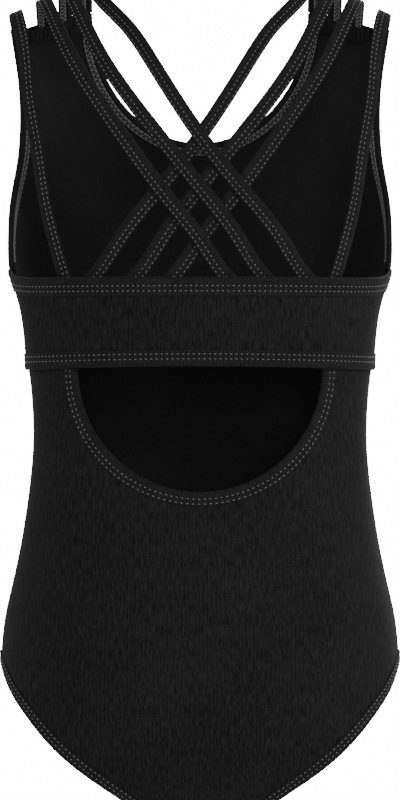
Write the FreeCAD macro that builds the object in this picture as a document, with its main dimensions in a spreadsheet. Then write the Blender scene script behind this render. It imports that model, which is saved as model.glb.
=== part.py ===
import FreeCAD, Part
import math
import os
import Sketcher
from FreeCAD import Vector

# A girl's gymnastics leotard: a front panel, a lower back panel with a keyhole, a band across the
# back, and four straps from each shoulder that cross between the shoulder blades.
#
# Frame: +Z up, the wearer's left at +X, the wearer's back at +Y. The origin is on the line over the
# tops of the shoulders, midway between them, where the garment hangs.
#
# Every cloth piece lies on or beside one body surface, the skin. A place on the skin is (turn, drop):
# turn is the angle round the body in degrees, 0 at centre back, 90 at the wearer's left side and 180
# at centre front; drop is the distance down from the shoulder line, which under the hips continues
# as arc length round to the crotch. "lift" is a distance outwards from the skin.

DOCUMENT = FreeCAD.newDocument("Leotard")
SHEET = DOCUMENT.addObject("Spreadsheet::Sheet", "Sizes")

DRIVING_SIZES = (
    ("garment_length", 531.0),
    ("hip_drop", 418.0),
    ("shoulder_base_drop", 70.0),
    ("shoulder_slope", 0.49),
    ("neck_point_x", 71.0),
    ("side_fullness", 0.12),
    ("cloth_thickness", 0.8),
    ("lining_thickness", 0.5),
    ("tape_thickness", 0.55),
    ("layer_gap", 0.2),
    ("strap_width", 8.4),
    ("strap_slot", 0.6),
    ("strap_elastic_width", 6.0),
    ("strap_elastic_thickness", 0.4),
    ("strap_layer_lift", 2.95),
    ("strap_catch_depth", 9.0),
    ("strap_end_drop", 190.5),
    ("binding_width", 8.4),
    ("keyhole_binding_width", 9.3),
    ("band_top_binding_width", 11.5),
    ("band_hem_width", 10.5),
    ("fold_wall", 0.7),
    ("elastic_width", 2.4),
    ("elastic_thickness", 0.9),
    ("cloth_inset", 3.7),
    ("lining_armhole_inset", 6.0),
    ("facing_inner_x", 76.8),
    ("facing_width", 30.0),
    ("neck_tool_depth", 150.0),
    ("neck_tool_height", 120.0),
    ("keyhole_tool_height", 60.0),
    ("needle_gauge", 3.1),
    ("thread_width", 0.7),
    ("thread_thickness", 0.25),
    ("looper_width", 3.6),
    ("neckline_half_width", 67.3),
    ("neckline_depth", 79.8),
    ("neckline_centre_drop", 20.0),
    ("keyhole_radius", 75.4),
    ("keyhole_centre_drop", 241.8),
    ("back_panel_top_drop", 231.0),
    ("band_top_drop", 185.4),
    ("band_end_rise", 6.2),
    ("band_bottom_drop", 240.0),
    ("band_bottom_sag", 2.4),
    ("band_lift", 2.85),
    ("band_end_sink", 0.9),
    ("top_edge_drop", 12.1),
    ("top_edge_slope", 24.6),
    ("underarm_drop", 180.0),
    ("leg_top_drop", 424.0),
    ("crotch_half_width", 31.0),
    ("gusset_half_width", 26.0),
    ("gusset_front_length", 62.0),
    ("gusset_back_length", 36.0),
    ("overlock_width", 5.0),
    ("tack_length", 7.0),
    ("tack_width", 1.6),
    ("label_width", 25.0),
    ("label_height", 38.0),
    ("label_thickness", 0.3),
    ("label_top_drop", 262.0),
    ("label_hinge_x", 99.6),
    ("label_rest_angle", 17.0),
)

# Body levels: name, drop, half width, depth behind the shoulder line, depth in front of it.
BODY_LEVELS = (
    ("shoulder", 0, 127.0, 50.0, 50.0),
    ("collar", 60, 128.0, 62.0, 60.0),
    ("blade", 100, 126.0, 70.0, 72.0),
    ("chest", 155, 119.0, 77.0, 80.0),
    ("underarm", 180, 116.3, 78.0, 81.0),
    ("upper_band", 200, 110.6, 76.5, 80.5),
    ("underbust", 240, 105.6, 70.0, 78.0),
    ("waist", 280, 103.0, 66.5, 76.0),
    ("belly", 323, 106.5, 72.0, 78.0),
    ("hip_bone", 348, 110.4, 78.0, 78.5),
    ("upper_hip", 373, 115.6, 83.5, 77.5),
    ("seat", 397, 120.8, 87.0, 75.5),
    ("hip", 418, 122.9, 88.0, 74.5),
)
LEVEL_COLUMNS = ("drop", "half_width", "back", "front")


def fill_sheet():
    """Write every driving size into the sheet, each under its own alias."""
    rows = list(DRIVING_SIZES)
    for level, *values in BODY_LEVELS:
        rows += [(f"{level}_level_{column}", value) for column, value in zip(LEVEL_COLUMNS, values)]
    for index, (alias, value) in enumerate(rows, start=1):
        SHEET.set(f"A{index}", alias)
        SHEET.set(f"B{index}", str(value))
        SHEET.setAlias(f"B{index}", alias)
    DOCUMENT.recompute()


def size(alias):
    return float(SHEET.get(alias))


def natural_spline(places, values):
    """A smooth function through (place, value) pairs, level beyond the last one."""
    count = len(places)
    spans = [places[i + 1] - places[i] for i in range(count - 1)]
    slopes = [(values[i + 1] - values[i]) / spans[i] for i in range(count - 1)]
    diagonal = [1.0] * count
    right_side = [0.0] * count
    for i in range(1, count - 1):
        weight = spans[i - 1] / diagonal[i - 1] if i > 1 else 0.0
        diagonal[i] = 2 * (spans[i - 1] + spans[i]) - weight * spans[i - 1]
        right_side[i] = 6 * (slopes[i] - slopes[i - 1]) - weight * right_side[i - 1]
    bends = [0.0] * count
    for i in range(count - 2, 0, -1):
        bends[i] = (right_side[i] - spans[i] * bends[i + 1]) / diagonal[i]

    def value_at(place):
        if place >= places[-1]:
            return values[-1]
        i = max(k for k in range(count - 1) if places[k] <= place or k == 0)
        span, here, there = spans[i], place - places[i], places[i + 1] - place
        curved = (bends[i] * there ** 3 + bends[i + 1] * here ** 3) / (6 * span)
        start = (values[i] / span - bends[i] * span / 6) * there
        end = (values[i + 1] / span - bends[i + 1] * span / 6) * here
        return curved + start + end

    return value_at


fill_sheet()
LEVEL_DROPS = [size(f"{level[0]}_level_drop") for level in BODY_LEVELS]
half_width_at = natural_spline(LEVEL_DROPS, [size(f"{level[0]}_level_half_width") for level in BODY_LEVELS])
back_depth_at = natural_spline(LEVEL_DROPS, [size(f"{level[0]}_level_back") for level in BODY_LEVELS])
front_depth_at = natural_spline(LEVEL_DROPS, [size(f"{level[0]}_level_front") for level in BODY_LEVELS])

HIP_DROP = size("hip_drop")
CROTCH_DEPTH = size("garment_length") - HIP_DROP
CROTCH_DROP = HIP_DROP + CROTCH_DEPTH * math.pi / 2
SHOULDER_BASE = size("shoulder_base_drop")
SHOULDER_SLOPE = size("shoulder_slope")
NECK_POINT_X = size("neck_point_x")
SIDE_FULLNESS = size("side_fullness")


def apex_drop(x):
    """How far below the shoulder line the top of the shoulder is at this distance from the middle."""
    return SHOULDER_SLOPE * (abs(x) - NECK_POINT_X)


def closing(x, drop):
    """How much of the body's depth is left at a drop above the shoulder's base: 1 below it."""
    if drop >= SHOULDER_BASE:
        return 1.0
    rise = (SHOULDER_BASE - drop) / (SHOULDER_BASE - apex_drop(x))
    return math.sqrt(max(0.0, 1 - rise * rise))


def skin(turn, drop):
    """The point of the body surface at this turn and drop."""
    if drop > CROTCH_DROP:
        drop = 2 * CROTCH_DROP - drop
        turn = math.copysign(180, turn) - turn
    angle = math.radians(turn)
    across, along = math.sin(angle), math.cos(angle)
    depth = back_depth_at(drop) if along >= 0 else front_depth_at(drop)
    z = -drop
    if drop > HIP_DROP:
        bend = (drop - HIP_DROP) / CROTCH_DEPTH
        depth *= math.cos(bend)
        z = -HIP_DROP - CROTCH_DEPTH * math.sin(bend)
    x = half_width_at(drop) * across
    return Vector(x, depth * along * (1 + SIDE_FULLNESS * across ** 2) * closing(x, drop), z)


def skin_slopes(turn, drop):
    """How the skin moves per degree of turn and per millimetre of drop."""
    step = 0.02
    by_turn = (skin(turn + step, drop) - skin(turn - step, drop)) / (2 * step)
    by_drop = (skin(turn, drop + step) - skin(turn, drop - step)) / (2 * step)
    return by_turn, by_drop


def lifted(turn, drop, lift):
    """The skin point moved outwards by lift."""
    by_turn, by_drop = skin_slopes(turn, drop)
    return skin(turn, drop) + by_turn.cross(by_drop).normalize() * lift


def turn_for(x, drop, front=False):
    """The turn at which the skin is x from the middle."""
    turn = math.degrees(math.asin(max(-1.0, min(1.0, x / half_width_at(drop)))))
    return math.copysign(180, x) - turn if front else turn


def drop_for(z):
    """The drop of a skin point at height z."""
    if -z <= HIP_DROP:
        return -z
    return HIP_DROP + CROTCH_DEPTH * math.asin(min(1.0, (-z - HIP_DROP) / CROTCH_DEPTH))


def smooth_step(value, start, end):
    share = max(0.0, min(1.0, (value - start) / (end - start)))
    return share * share * (3 - 2 * share)


def level(turn):
    """No change of lift, for a piece that keeps to one lift."""
    return 0


def band_sink(turn):
    """How much nearer to the body the band lies at its ends, where the side seams hold it."""
    return size("band_end_sink") * smooth_step(abs(turn), 68, 90)


# ---------------------------------------------------------------- solids from rails

def closed_solid(faces):
    """Sew faces into one solid that points outwards."""
    shell = Part.Shell(faces)
    shell.sewShape()
    solid = Part.Solid(shell if shell.ShapeType == "Shell" else shell.Shells[0])
    if solid.Volume < 0:
        solid.reverse()
    return solid


def rail_edge(points, closed):
    """A smooth edge through points that all rails of one strip share the spacing of."""
    curve = Part.BSplineCurve()
    count = len(points) + (1 if closed else 0)
    spacing = [i / (count - 1) for i in range(count)]
    curve.interpolate(Points=points, PeriodicFlag=closed, Parameters=spacing)
    return curve.toShape()


def strip(frames, profile, closed=False):
    """Sweep a profile along frames. A frame is a function from (across, lift) to a point, and the
    profile is a list of pairs, an outer and an inner (across, lift), so it can fold round."""
    ring = [pair[0] for pair in profile] + [pair[1] for pair in reversed(profile)]
    rails = [[frame(*corner) for frame in frames] for corner in ring]
    edges = [rail_edge(points, closed) for points in rails]
    faces = [Part.makeRuledSurface(edges[i - 1], edges[i], 1) for i in range(len(edges))]
    if not closed:
        for end in (0, -1):
            corners = [points[end] for points in rails]
            for i in range(len(profile) - 1):
                quad = (corners[i], corners[i + 1], corners[-2 - i], corners[-1 - i])
                for triangle in ((0, 1, 2), (0, 2, 3)):
                    outline = Part.makePolygon([quad[k] for k in triangle] + [quad[0]])
                    faces.append(Part.Face(outline))
    return closed_solid(faces)


def slab(places, low, high, sink=level):
    """A sheet between two lifts, less its sink, over a grid of (turn, drop) places."""
    sheets = []
    for lift in (low, high):
        surface = Part.BSplineSurface()
        rows = [[lifted(turn, drop, lift - sink(turn)) for turn, drop in row] for row in places]
        surface.interpolate(rows)
        sheets.append(surface.toShape())
    sides = [Part.makeRuledSurface(a, b, 1) for a, b in zip(sheets[0].Edges, sheets[1].Edges)]
    return closed_solid(sheets + sides)


def edge_frames(path, inwards, closed=False, sink=level):
    """Frames along an edge on the skin, whose across direction runs into the cloth.
    inwards is 1 or -1 for cloth on the left or the right of the path, seen from outside."""
    count = len(path)
    points = [skin(*place) for place in path]
    frames = []
    for i, (turn, drop) in enumerate(path):
        if closed:
            run = points[(i + 1) % count] - points[i - 1]
        else:
            run = points[min(i + 1, count - 1)] - points[max(i - 1, 0)]
        by_turn, by_drop = skin_slopes(turn, drop)
        normal = by_turn.cross(by_drop).normalize()
        across = normal.cross(run).normalize() * inwards
        uu, us, ss = by_turn.dot(by_turn), by_turn.dot(by_drop), by_drop.dot(by_drop)
        au, ads = across.dot(by_turn), across.dot(by_drop)
        area = uu * ss - us * us
        turn_rate, drop_rate = (au * ss - ads * us) / area, (ads * uu - au * us) / area

        def frame(distance, lift, turn=turn, drop=drop, rates=(turn_rate, drop_rate)):
            turn, drop = turn + distance * rates[0], drop + distance * rates[1]
            return lifted(turn, drop, lift - sink(turn))

        frames.append(frame)
    return frames


# ---------------------------------------------------------------- edges of the garment

def smooth_places(corners, count, level_ends=False):
    """Evenly sampled places along a smooth curve through (turn, drop) corners."""
    curve = Part.BSplineCurve()
    points = [Vector(turn, drop, 0) for turn, drop in corners]
    if level_ends:
        curve.interpolate(Points=points, InitialTangent=Vector(0, -1, 0), FinalTangent=Vector(0, 1, 0))
    else:
        curve.interpolate(Points=points)
    return [(point.x, point.y) for point in curve.discretize(Number=count)]


def top_edge_drop(x):
    """The drop of the front panel's top edge, which slopes down towards the arm."""
    across = x / half_width_at(0)
    return size("top_edge_drop") + size("top_edge_slope") * across ** 2


def neckline_path(count=49):
    """Round the front neck, half an ellipse, from the wearer's right to the left."""
    places = []
    for i in range(count):
        angle = math.pi * i / (count - 1)
        x = -size("neckline_half_width") * math.cos(angle)
        drop = size("neckline_centre_drop") + size("neckline_depth") * math.sin(angle)
        places.append((turn_for(x, drop, front=True), drop))
    return places


def keyhole_path(count=49):
    """Down one side of the keyhole, round its half circle and up the other side."""
    radius, centre = size("keyhole_radius"), size("keyhole_centre_drop")
    top = size("back_panel_top_drop")
    outline = [(-radius, top), (-radius, (top + centre) / 2)]
    for i in range(count):
        angle = math.pi * i / (count - 1)
        outline.append((-radius * math.cos(angle), centre + radius * math.sin(angle)))
    outline += [(radius, (top + centre) / 2), (radius, top)]
    return [(turn_for(x, drop), drop) for x, drop in outline]


# Left armhole from the top of the shoulder down to the underarm, as (turn, drop).
ARMHOLE_CORNERS = (
    (112.8, 32), (117.4, 60), (117.8, 90), (114, 112), (106, 132), (97, 152), (92, 170), (90, 180),
)

# Left leg edge as (x, z), up from the crotch at the back and down again at the front.
LEG_BACK_CORNERS = (
    (32.5, -525), (40, -514), (59.8, -499.7), (88.4, -477.4), (110.7, -450.7), (118.1, -438.3),
)
LEG_FRONT_CORNERS = ((117, -437), (107, -449), (85, -468), (58, -492), (40, -511), (32.5, -524))


def leg_path(count=72):
    """Round the left leg opening, without the place where it closes."""
    crotch_turn = turn_for(size("crotch_half_width"), CROTCH_DROP)
    corners = [(crotch_turn, CROTCH_DROP)]
    corners += [(turn_for(x, drop_for(z)), drop_for(z)) for x, z in LEG_BACK_CORNERS]
    corners.append((90, size("leg_top_drop")))
    corners += [(turn_for(x, drop_for(z), front=True), drop_for(z)) for x, z in LEG_FRONT_CORNERS]
    corners.append((180 - crotch_turn, CROTCH_DROP))
    return smooth_places(corners, count, level_ends=True)[:-1]


def band_top_drop(turn):
    """The band's top edge, level across the back and rising at the underarms."""
    return size("band_top_drop") - size("band_end_rise") * (abs(turn) / 90) ** 8


def band_bottom_drop(turn):
    return size("band_bottom_drop") + size("band_bottom_sag") * math.sin(math.radians(turn)) ** 2


def turns(first, last, count):
    return [first + (last - first) * i / (count - 1) for i in range(count)]


SIDE_TURN = 89.7
CLOTH = size("cloth_thickness") / 2
TAPE = size("tape_thickness")
GAP = size("layer_gap")
LINING_HIGH = -CLOTH - GAP - 0.1
LINING_LOW = LINING_HIGH - size("lining_thickness")
SLOT_HIGH = CLOTH + GAP - 0.05
SLOT_LOW = LINING_LOW - GAP
GUSSET_HIGH = LINING_LOW - GAP
GUSSET_LOW = GUSSET_HIGH - size("lining_thickness")
LEG_SLOT_LOW = GUSSET_LOW - GAP
BAND = size("band_lift")
BAND_LINING_HIGH = BAND - CLOTH - GAP / 2
BAND_LINING_LOW = BAND_LINING_HIGH - size("lining_thickness")
BAND_SLOT_LOW = BAND_LINING_LOW - GAP / 2
BAND_SLOT_HIGH = BAND + CLOTH + GAP
HEM_SLOT_LOW = BAND - CLOTH - GAP / 2

ARMHOLE = edge_frames(smooth_places(ARMHOLE_CORNERS, 40), -1)
NECKLINE = edge_frames(neckline_path(), -1)
KEYHOLE = edge_frames(keyhole_path(), 1)
LEG = edge_frames(leg_path(), -1, closed=True)
BAND_TURNS = turns(-SIDE_TURN, SIDE_TURN, 41)
BAND_TOP = edge_frames([(turn, band_top_drop(turn)) for turn in BAND_TURNS], 1, sink=band_sink)
BAND_BOTTOM = edge_frames([(turn, band_bottom_drop(turn)) for turn in BAND_TURNS], -1, sink=band_sink)


# ---------------------------------------------------------------- profiles of tapes and threads

def folded_tape(width, low, high):
    """A tape folded round an edge, with a slot between lifts low and high for the cloth."""
    wall = size("fold_wall")
    steps = (width, width / 2)
    profile = [((across, low - TAPE), (across, low)) for across in steps]
    profile += [((0, low - TAPE), (wall, low)), ((0, high + TAPE), (wall, high))]
    profile += [((across, high + TAPE), (across, high)) for across in reversed(steps)]
    return profile


def flat_tape(first, last, low, high):
    """A flat tape between two distances across and two lifts."""
    return [((across, high), (across, low)) for across in (first, last)]


def edge_elastic(low, high):
    """The elastic that lies in the fold, beside the cloth."""
    start = size("fold_wall") + GAP
    middle = (low + high) / 2
    half = size("elastic_thickness") / 2
    return flat_tape(start, start + size("elastic_width"), middle - half, middle + half)


def coverstitch(outer_row, low, high):
    """Two needle rows on the outside and one looper band on the inside of a tape."""
    width, depth = size("thread_width"), size("thread_thickness")
    clear = GAP / 4
    rows = []
    for row in (outer_row, outer_row - size("needle_gauge")):
        rows.append(flat_tape(row - width / 2, row + width / 2, high + clear, high + clear + depth))
    centre = outer_row - size("needle_gauge") / 2
    half = size("looper_width") / 2
    rows.append(flat_tape(centre - half, centre + half, low - clear - depth, low - clear))
    return rows


def mirrored(shape):
    return shape.mirror(Vector(0, 0, 0), Vector(1, 0, 0))


# ---------------------------------------------------------------- straps

# Each left strap: places as (x, drop) up the front, x at the top of the shoulder, and places down
# the back to the band. The stitched edge of a crossing strap is its lower one.
STRAPS = {
    "outer": (((113.4, 31),), 114.5, ((108.8, 44), (105.7, 75), (100.4, 106), (95.8, 137), (88.4, 168))),
    "second": (((98, 35.6), (98, 25)), 97.6, ((83.4, 41), (69.4, 66), (54.3, 89), (15.2, 143), (-0.3, 163))),
    "third": (((84.3, 31.8), (84.3, 21)), 83.4, ((72.9, 25.4), (55.5, 58), (36.9, 84), (-5, 137), (-22, 160))),
    "inner": (((71.5, 19.4), (71.5, 8)), 70.8,
              ((60.2, 13.5), (42.5, 31), (27.7, 52.6), (5.9, 88.9), (-25.8, 132.5), (-46.8, 158.7))),
}
STRAP_BAND_X = {"outer": 83.4, "second": -16.4, "third": -39.6, "inner": -65.2}
STRAP_END_X = {"outer": 81.6, "second": -21.6, "third": -44.8, "inner": -70.0}
CAUGHT_STRAPS = ("second", "third")
STRAP_HALF = size("strap_slot") / 2 + TAPE
STITCH_ROOM = 2 * (size("thread_thickness") + GAP / 4) + GAP / 2
CAUGHT_ROOM = STITCH_ROOM / 2 + GAP
BAND_UNDERSIDE = BAND_SLOT_LOW - TAPE - STITCH_ROOM


def outwards(point):
    """The body's outward direction at a point near its upper part."""
    def reach(place):
        drop = -place.z
        across = place.x / half_width_at(drop)
        depth = back_depth_at(drop) if place.y >= 0 else front_depth_at(drop)
        depth *= 1 + SIDE_FULLNESS * across ** 2
        rise = max(0.0, SHOULDER_BASE - drop) / (SHOULDER_BASE - apex_drop(place.x))
        return (place.y / depth) ** 2 - (1 - across ** 2) * (1 - rise * rise)

    step = 0.05
    axes = (Vector(step, 0, 0), Vector(0, step, 0), Vector(0, 0, step))
    return Vector(*(reach(point + axis) - reach(point - axis) for axis in axes)).normalize()


def strap_route(name, on_top):
    """The smooth centre line of a left strap, from its front root over the shoulder to the band."""
    front, apex_x, back = STRAPS[name]
    caught_lift = -CLOTH - CAUGHT_ROOM - STRAP_HALF if name in CAUGHT_STRAPS else (SLOT_LOW + SLOT_HIGH) / 2
    band_lift = BAND_UNDERSIDE - STRAP_HALF
    back = back + ((STRAP_BAND_X[name], size("band_top_drop")), (STRAP_END_X[name], size("strap_end_drop")))
    points = []
    for x, drop in front:
        point = skin(turn_for(x, drop, front=True), drop)
        points.append(point + outwards(point) * caught_lift)
    points.append(Vector(apex_x, 0, -apex_drop(apex_x)))
    for x, drop in back:
        top_lift = size("strap_layer_lift") * smooth_step(drop, 20, 60) if on_top else 0
        sink = smooth_step(drop, 163, size("band_top_drop"))
        point = skin(turn_for(x, drop), drop)
        points.append(point + outwards(point) * (top_lift * (1 - sink) + band_lift * sink))
    curve = Part.BSplineCurve()
    curve.interpolate(Points=points)
    return curve


def strap_frames(name, on_top, count=44):
    """Frames along a left strap, with across from its folded edge to its stitched edge."""
    curve = strap_route(name, on_top)
    side = 1 if name == "outer" else -1
    frames = []
    for parameter in curve.discretize(Number=count):
        along = curve.tangent(curve.parameter(parameter))[0]
        across = outwards(parameter).cross(along).normalize() * side
        lift_axis = across.cross(along).normalize()
        if lift_axis.dot(outwards(parameter)) < 0:
            lift_axis = -lift_axis

        def frame(distance, lift, centre=parameter, across=across, axis=lift_axis):
            return centre + across * (distance - size("strap_width") / 2) + axis * lift

        frames.append(frame)
    return frames


# ---------------------------------------------------------------- document objects

PIECES = []


def add_piece(label, shapes):
    """A sub-part whose shape is one solid or a group of separate solids."""
    feature = DOCUMENT.addObject("Part::Feature", label.title().replace("_", ""))
    feature.Label = label
    feature.Shape = shapes if isinstance(shapes, Part.Shape) else Part.makeCompound(shapes)
    feature.Placement = FreeCAD.Placement()
    PIECES.append(feature)


def add_pair(label, shapes):
    """A left sub-part and its mirror image on the right."""
    shape = shapes if isinstance(shapes, Part.Shape) else Part.makeCompound(shapes)
    add_piece(f"{label}_left", shape)
    add_piece(f"{label}_right", mirrored(shape))


def add_tool(kind, name, expressions):
    """A helper object whose sizes are bound to the sheet."""
    tool = DOCUMENT.addObject(kind, name)
    for prop, expression in expressions.items():
        tool.setExpression(prop, expression)
    return tool


def prism(frames, inset, direction, closing_points, near, far):
    """A cutter along direction whose outline follows an edge where the cloth ends inside its tape.
    It reaches from near to far, measured along direction from the origin."""
    direction = Vector(*direction).normalize()
    outline = [frame(inset, 0) for frame in frames]
    flat = [point - direction * (point.dot(direction) - near) for point in outline]
    curve = Part.BSplineCurve()
    curve.interpolate(Points=flat, PeriodicFlag=not closing_points)
    edges = [curve.toShape()]
    if closing_points:
        corners = [Vector(*point) for point in closing_points]
        corners = [point - direction * (point.dot(direction) - near) for point in corners]
        edges += Part.makePolygon([flat[-1]] + corners + [flat[0]]).Edges
    return Part.Face(Part.Wire(edges)).extrude(direction * (far - near))


def slab_side(drop):
    """The turn to which a body panel runs before its leg edge is cut: less towards the crotch."""
    lowest_turn, start = 35, 440
    share = max(0.0, (drop - start) / (CROTCH_DROP - start))
    return lowest_turn + (SIDE_TURN - lowest_turn) * (1 + math.cos(math.pi * share)) / 2


def panel_slab(top, low, high, front, rows=70, columns=25):
    """An uncut body panel from its top edge down to the crotch."""
    bottom = CROTCH_DROP - 0.1
    places = []
    for j in range(rows):
        row = []
        for i in range(columns):
            share = 2 * i / (columns - 1) - 1
            start = top(half_width_at(0) * math.sin(math.radians(90 * share)))
            drop = start + (bottom - start) * j / (rows - 1)
            turn = share * slab_side(drop)
            row.append((180 - turn if front else turn, drop))
        places.append(row)
    return slab(places, low, high)


def cut_piece(label, shape, tools):
    """A body panel with its openings cut one after another by the document's own tools."""
    name = label.title().replace("_", "")
    piece = feature(name + "Uncut", shape)
    for tool in tools:
        cut = DOCUMENT.addObject("Part::Cut", f"{name}After{tool.Name}")
        cut.Base = piece
        cut.Tool = tool
        piece = cut
    piece.Label = label
    PIECES.append(piece)


def feature(name, shape):
    tool = DOCUMENT.addObject("Part::Feature", name)
    tool.Shape = shape
    return tool


# ---------------------------------------------------------------- cutting tools

LEG_TOOL_DIRECTION = (0.75, 0, -0.66)
LEG_TOOL_REACH = (340, 480)
ARM_TOOL_DIRECTION = (0.64, -0.77, 0)
ARM_TOOL_REACH = (-60, 260)
BESIDE_THE_ARM, ABOVE_THE_SHOULDER = 200, 60


def leg_cutters():
    """The space of each leg, which the front and back panels and the front lining share."""
    shape = prism(LEG, size("cloth_inset"), LEG_TOOL_DIRECTION, (), *LEG_TOOL_REACH)
    return [feature("LeftLegTool", shape), feature("RightLegTool", mirrored(shape))]


def armhole_cutters(name, inset):
    """The space of each arm, closed well clear of the cloth beside and above it."""
    corners = (
        (BESIDE_THE_ARM, 0, -size("underarm_drop") - 3),
        (BESIDE_THE_ARM, 0, ABOVE_THE_SHOULDER),
        (112, -20, ABOVE_THE_SHOULDER),
    )
    shape = prism(ARMHOLE, inset, ARM_TOOL_DIRECTION, corners, *ARM_TOOL_REACH)
    return [feature(f"Left{name}ArmTool", shape), feature(f"Right{name}ArmTool", mirrored(shape))]


def neckline_cutters():
    """The space of the neck: an elliptical prism with a straight sided one above it."""
    ellipse = add_tool("Part::Ellipse", "NeckEllipse", {
        "MajorRadius": "Sizes.neckline_depth + Sizes.cloth_inset",
        "MinorRadius": "Sizes.neckline_half_width + Sizes.cloth_inset",
    })
    ellipse.Placement = FreeCAD.Placement(
        Vector(0, 0, -size("neckline_centre_drop")), FreeCAD.Rotation(Vector(1, 1, 1), -120))
    prism_tool = DOCUMENT.addObject("Part::Extrusion", "NeckPrism")
    prism_tool.Base = ellipse
    prism_tool.DirMode = "Custom"
    prism_tool.Dir = Vector(0, -1, 0)
    prism_tool.setExpression("LengthFwd", "Sizes.neck_tool_depth")
    prism_tool.Solid = True
    block = add_tool("Part::Box", "NeckBlock", {
        "Length": "2 * (Sizes.neckline_half_width + Sizes.cloth_inset)",
        "Width": "Sizes.neck_tool_depth",
        "Height": "Sizes.neck_tool_height",
    })
    block.setExpression("Placement.Base.x", "-(Sizes.neckline_half_width + Sizes.cloth_inset)")
    block.setExpression("Placement.Base.y", "-Sizes.neck_tool_depth")
    block.setExpression("Placement.Base.z", "-Sizes.neckline_centre_drop")
    return [prism_tool, block]


def keyhole_cutters():
    """The space of the keyhole: a round hole with a straight sided one above it."""
    hole = add_tool("Part::Cylinder", "KeyholeRound", {
        "Radius": "Sizes.keyhole_radius + Sizes.cloth_inset",
        "Height": "Sizes.neck_tool_depth",
    })
    hole.Placement = FreeCAD.Placement(
        Vector(0, 0, -size("keyhole_centre_drop")), FreeCAD.Rotation(Vector(1, 0, 0), -90))
    block = add_tool("Part::Box", "KeyholeBlock", {
        "Length": "2 * (Sizes.keyhole_radius + Sizes.cloth_inset)",
        "Width": "Sizes.neck_tool_depth",
        "Height": "Sizes.keyhole_tool_height",
    })
    block.setExpression("Placement.Base.x", "-(Sizes.keyhole_radius + Sizes.cloth_inset)")
    block.setExpression("Placement.Base.z", "-Sizes.keyhole_centre_drop")
    return [hole, block]


# ---------------------------------------------------------------- cloth

def build_panels():
    leg_tools = leg_cutters()
    neck_tools = neckline_cutters()
    arm_tools = armhole_cutters("Panel", size("cloth_inset"))
    lining_arm_tools = armhole_cutters("Lining", size("lining_armhole_inset"))
    cut_piece("front_panel", panel_slab(top_edge_drop, -CLOTH, CLOTH, True), neck_tools + arm_tools + leg_tools)
    lining_top = size("strap_catch_depth") + 1
    lining = panel_slab(lambda x: top_edge_drop(x) + lining_top, LINING_LOW, LINING_HIGH, True)
    cut_piece("front_lining", lining, neck_tools + lining_arm_tools + leg_tools)
    back = panel_slab(lambda x: size("back_panel_top_drop"), -CLOTH, CLOTH, False)
    cut_piece("back_panel", back, keyhole_cutters() + leg_tools)


def build_facing():
    """The turned strip inside the front panel's top edge, over the roots of the straps."""
    high = -CLOTH - 2 * (CAUGHT_ROOM + STRAP_HALF)
    places = []
    for j in range(4):
        row = []
        for i in range(9):
            x = size("facing_inner_x") + size("facing_width") * i / 8
            drop = top_edge_drop(x) + size("strap_catch_depth") * j / 3
            row.append((turn_for(x, drop, front=True), drop))
        places.append(row)
    add_pair("front_top_facing", slab(places, high - size("lining_thickness"), high))


def build_gusset():
    """The lining of the crotch, between the leg bindings, from the front round to the back."""
    front_end, back_end = size("gusset_front_length"), size("gusset_back_length")
    places = []
    for j in range(13):
        along = -back_end + (front_end + back_end) * j / 12
        row = []
        for i in range(7):
            x = size("gusset_half_width") * (i / 3 - 1)
            turn = turn_for(x, CROTCH_DROP)
            behind = (turn, CROTCH_DROP + along)
            before = (180 - turn, CROTCH_DROP - along)
            row.append(behind if along < 0 else before)
        places.append(row)
    add_piece("gusset_lining", slab(places, GUSSET_LOW, GUSSET_HIGH))


def build_band():
    """The band across the back, standing clear of the panel that it hangs over, and its lining."""
    inset = size("cloth_inset")
    cloth, lining = [], []
    for j in range(9):
        cloth_row, lining_row = [], []
        for turn in turns(-SIDE_TURN, SIDE_TURN, 29):
            top, bottom = band_top_drop(turn) + inset, band_bottom_drop(turn) - inset
            cloth_row.append((turn, top + (bottom - top) * j / 8))
            lining_bottom = band_bottom_drop(turn) - size("band_hem_width") - 1
            lining_row.append((turn, top + (lining_bottom - top) * j / 8))
        cloth.append(cloth_row)
        lining.append(lining_row)
    add_piece("back_band", slab(cloth, BAND - CLOTH, BAND + CLOTH, band_sink))
    add_piece("back_band_lining", slab(lining, BAND_LINING_LOW, BAND_LINING_HIGH, band_sink))


# ---------------------------------------------------------------- bound edges

def build_bound_edge(name, frames, width, low, high, outer_row, closed=False, paired=False):
    """A folded tape, the elastic in its fold and the coverstitch that holds them. The elastic and
    the stitching of an open edge stop short of the tape's ends."""
    add = add_pair if paired else add_piece
    inner = frames if closed else frames[1:-1]
    tape_name = name if name == "band_hem" else f"{name}_binding"
    add(tape_name, strip(frames, folded_tape(width, low, high), closed))
    add(f"{name}_elastic", strip(inner, edge_elastic(low, high), closed))
    rows = coverstitch(outer_row, low - TAPE, high + TAPE)
    add(f"{name}_stitching", [strip(inner, row, closed) for row in rows])


def build_bound_edges():
    width = size("binding_width")
    keyhole_width = size("keyhole_binding_width")
    build_bound_edge("neckline", NECKLINE, width, SLOT_LOW, SLOT_HIGH, width - 1.2)
    build_bound_edge("armhole", ARMHOLE, width, SLOT_LOW, SLOT_HIGH, width - 1.2, paired=True)
    build_bound_edge("keyhole", KEYHOLE, keyhole_width, SLOT_LOW, SLOT_HIGH, keyhole_width - 1.3)
    build_bound_edge("leg", LEG, width, LEG_SLOT_LOW, SLOT_HIGH, width - 1.2, closed=True, paired=True)
    build_bound_edge("band_top", BAND_TOP, size("band_top_binding_width"), BAND_SLOT_LOW, BAND_SLOT_HIGH, 8.4)
    build_bound_edge("band_hem", BAND_BOTTOM, size("band_hem_width"), HEM_SLOT_LOW, BAND_SLOT_HIGH, 8.1)


# ---------------------------------------------------------------- straps, seams, tacks and label

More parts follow.
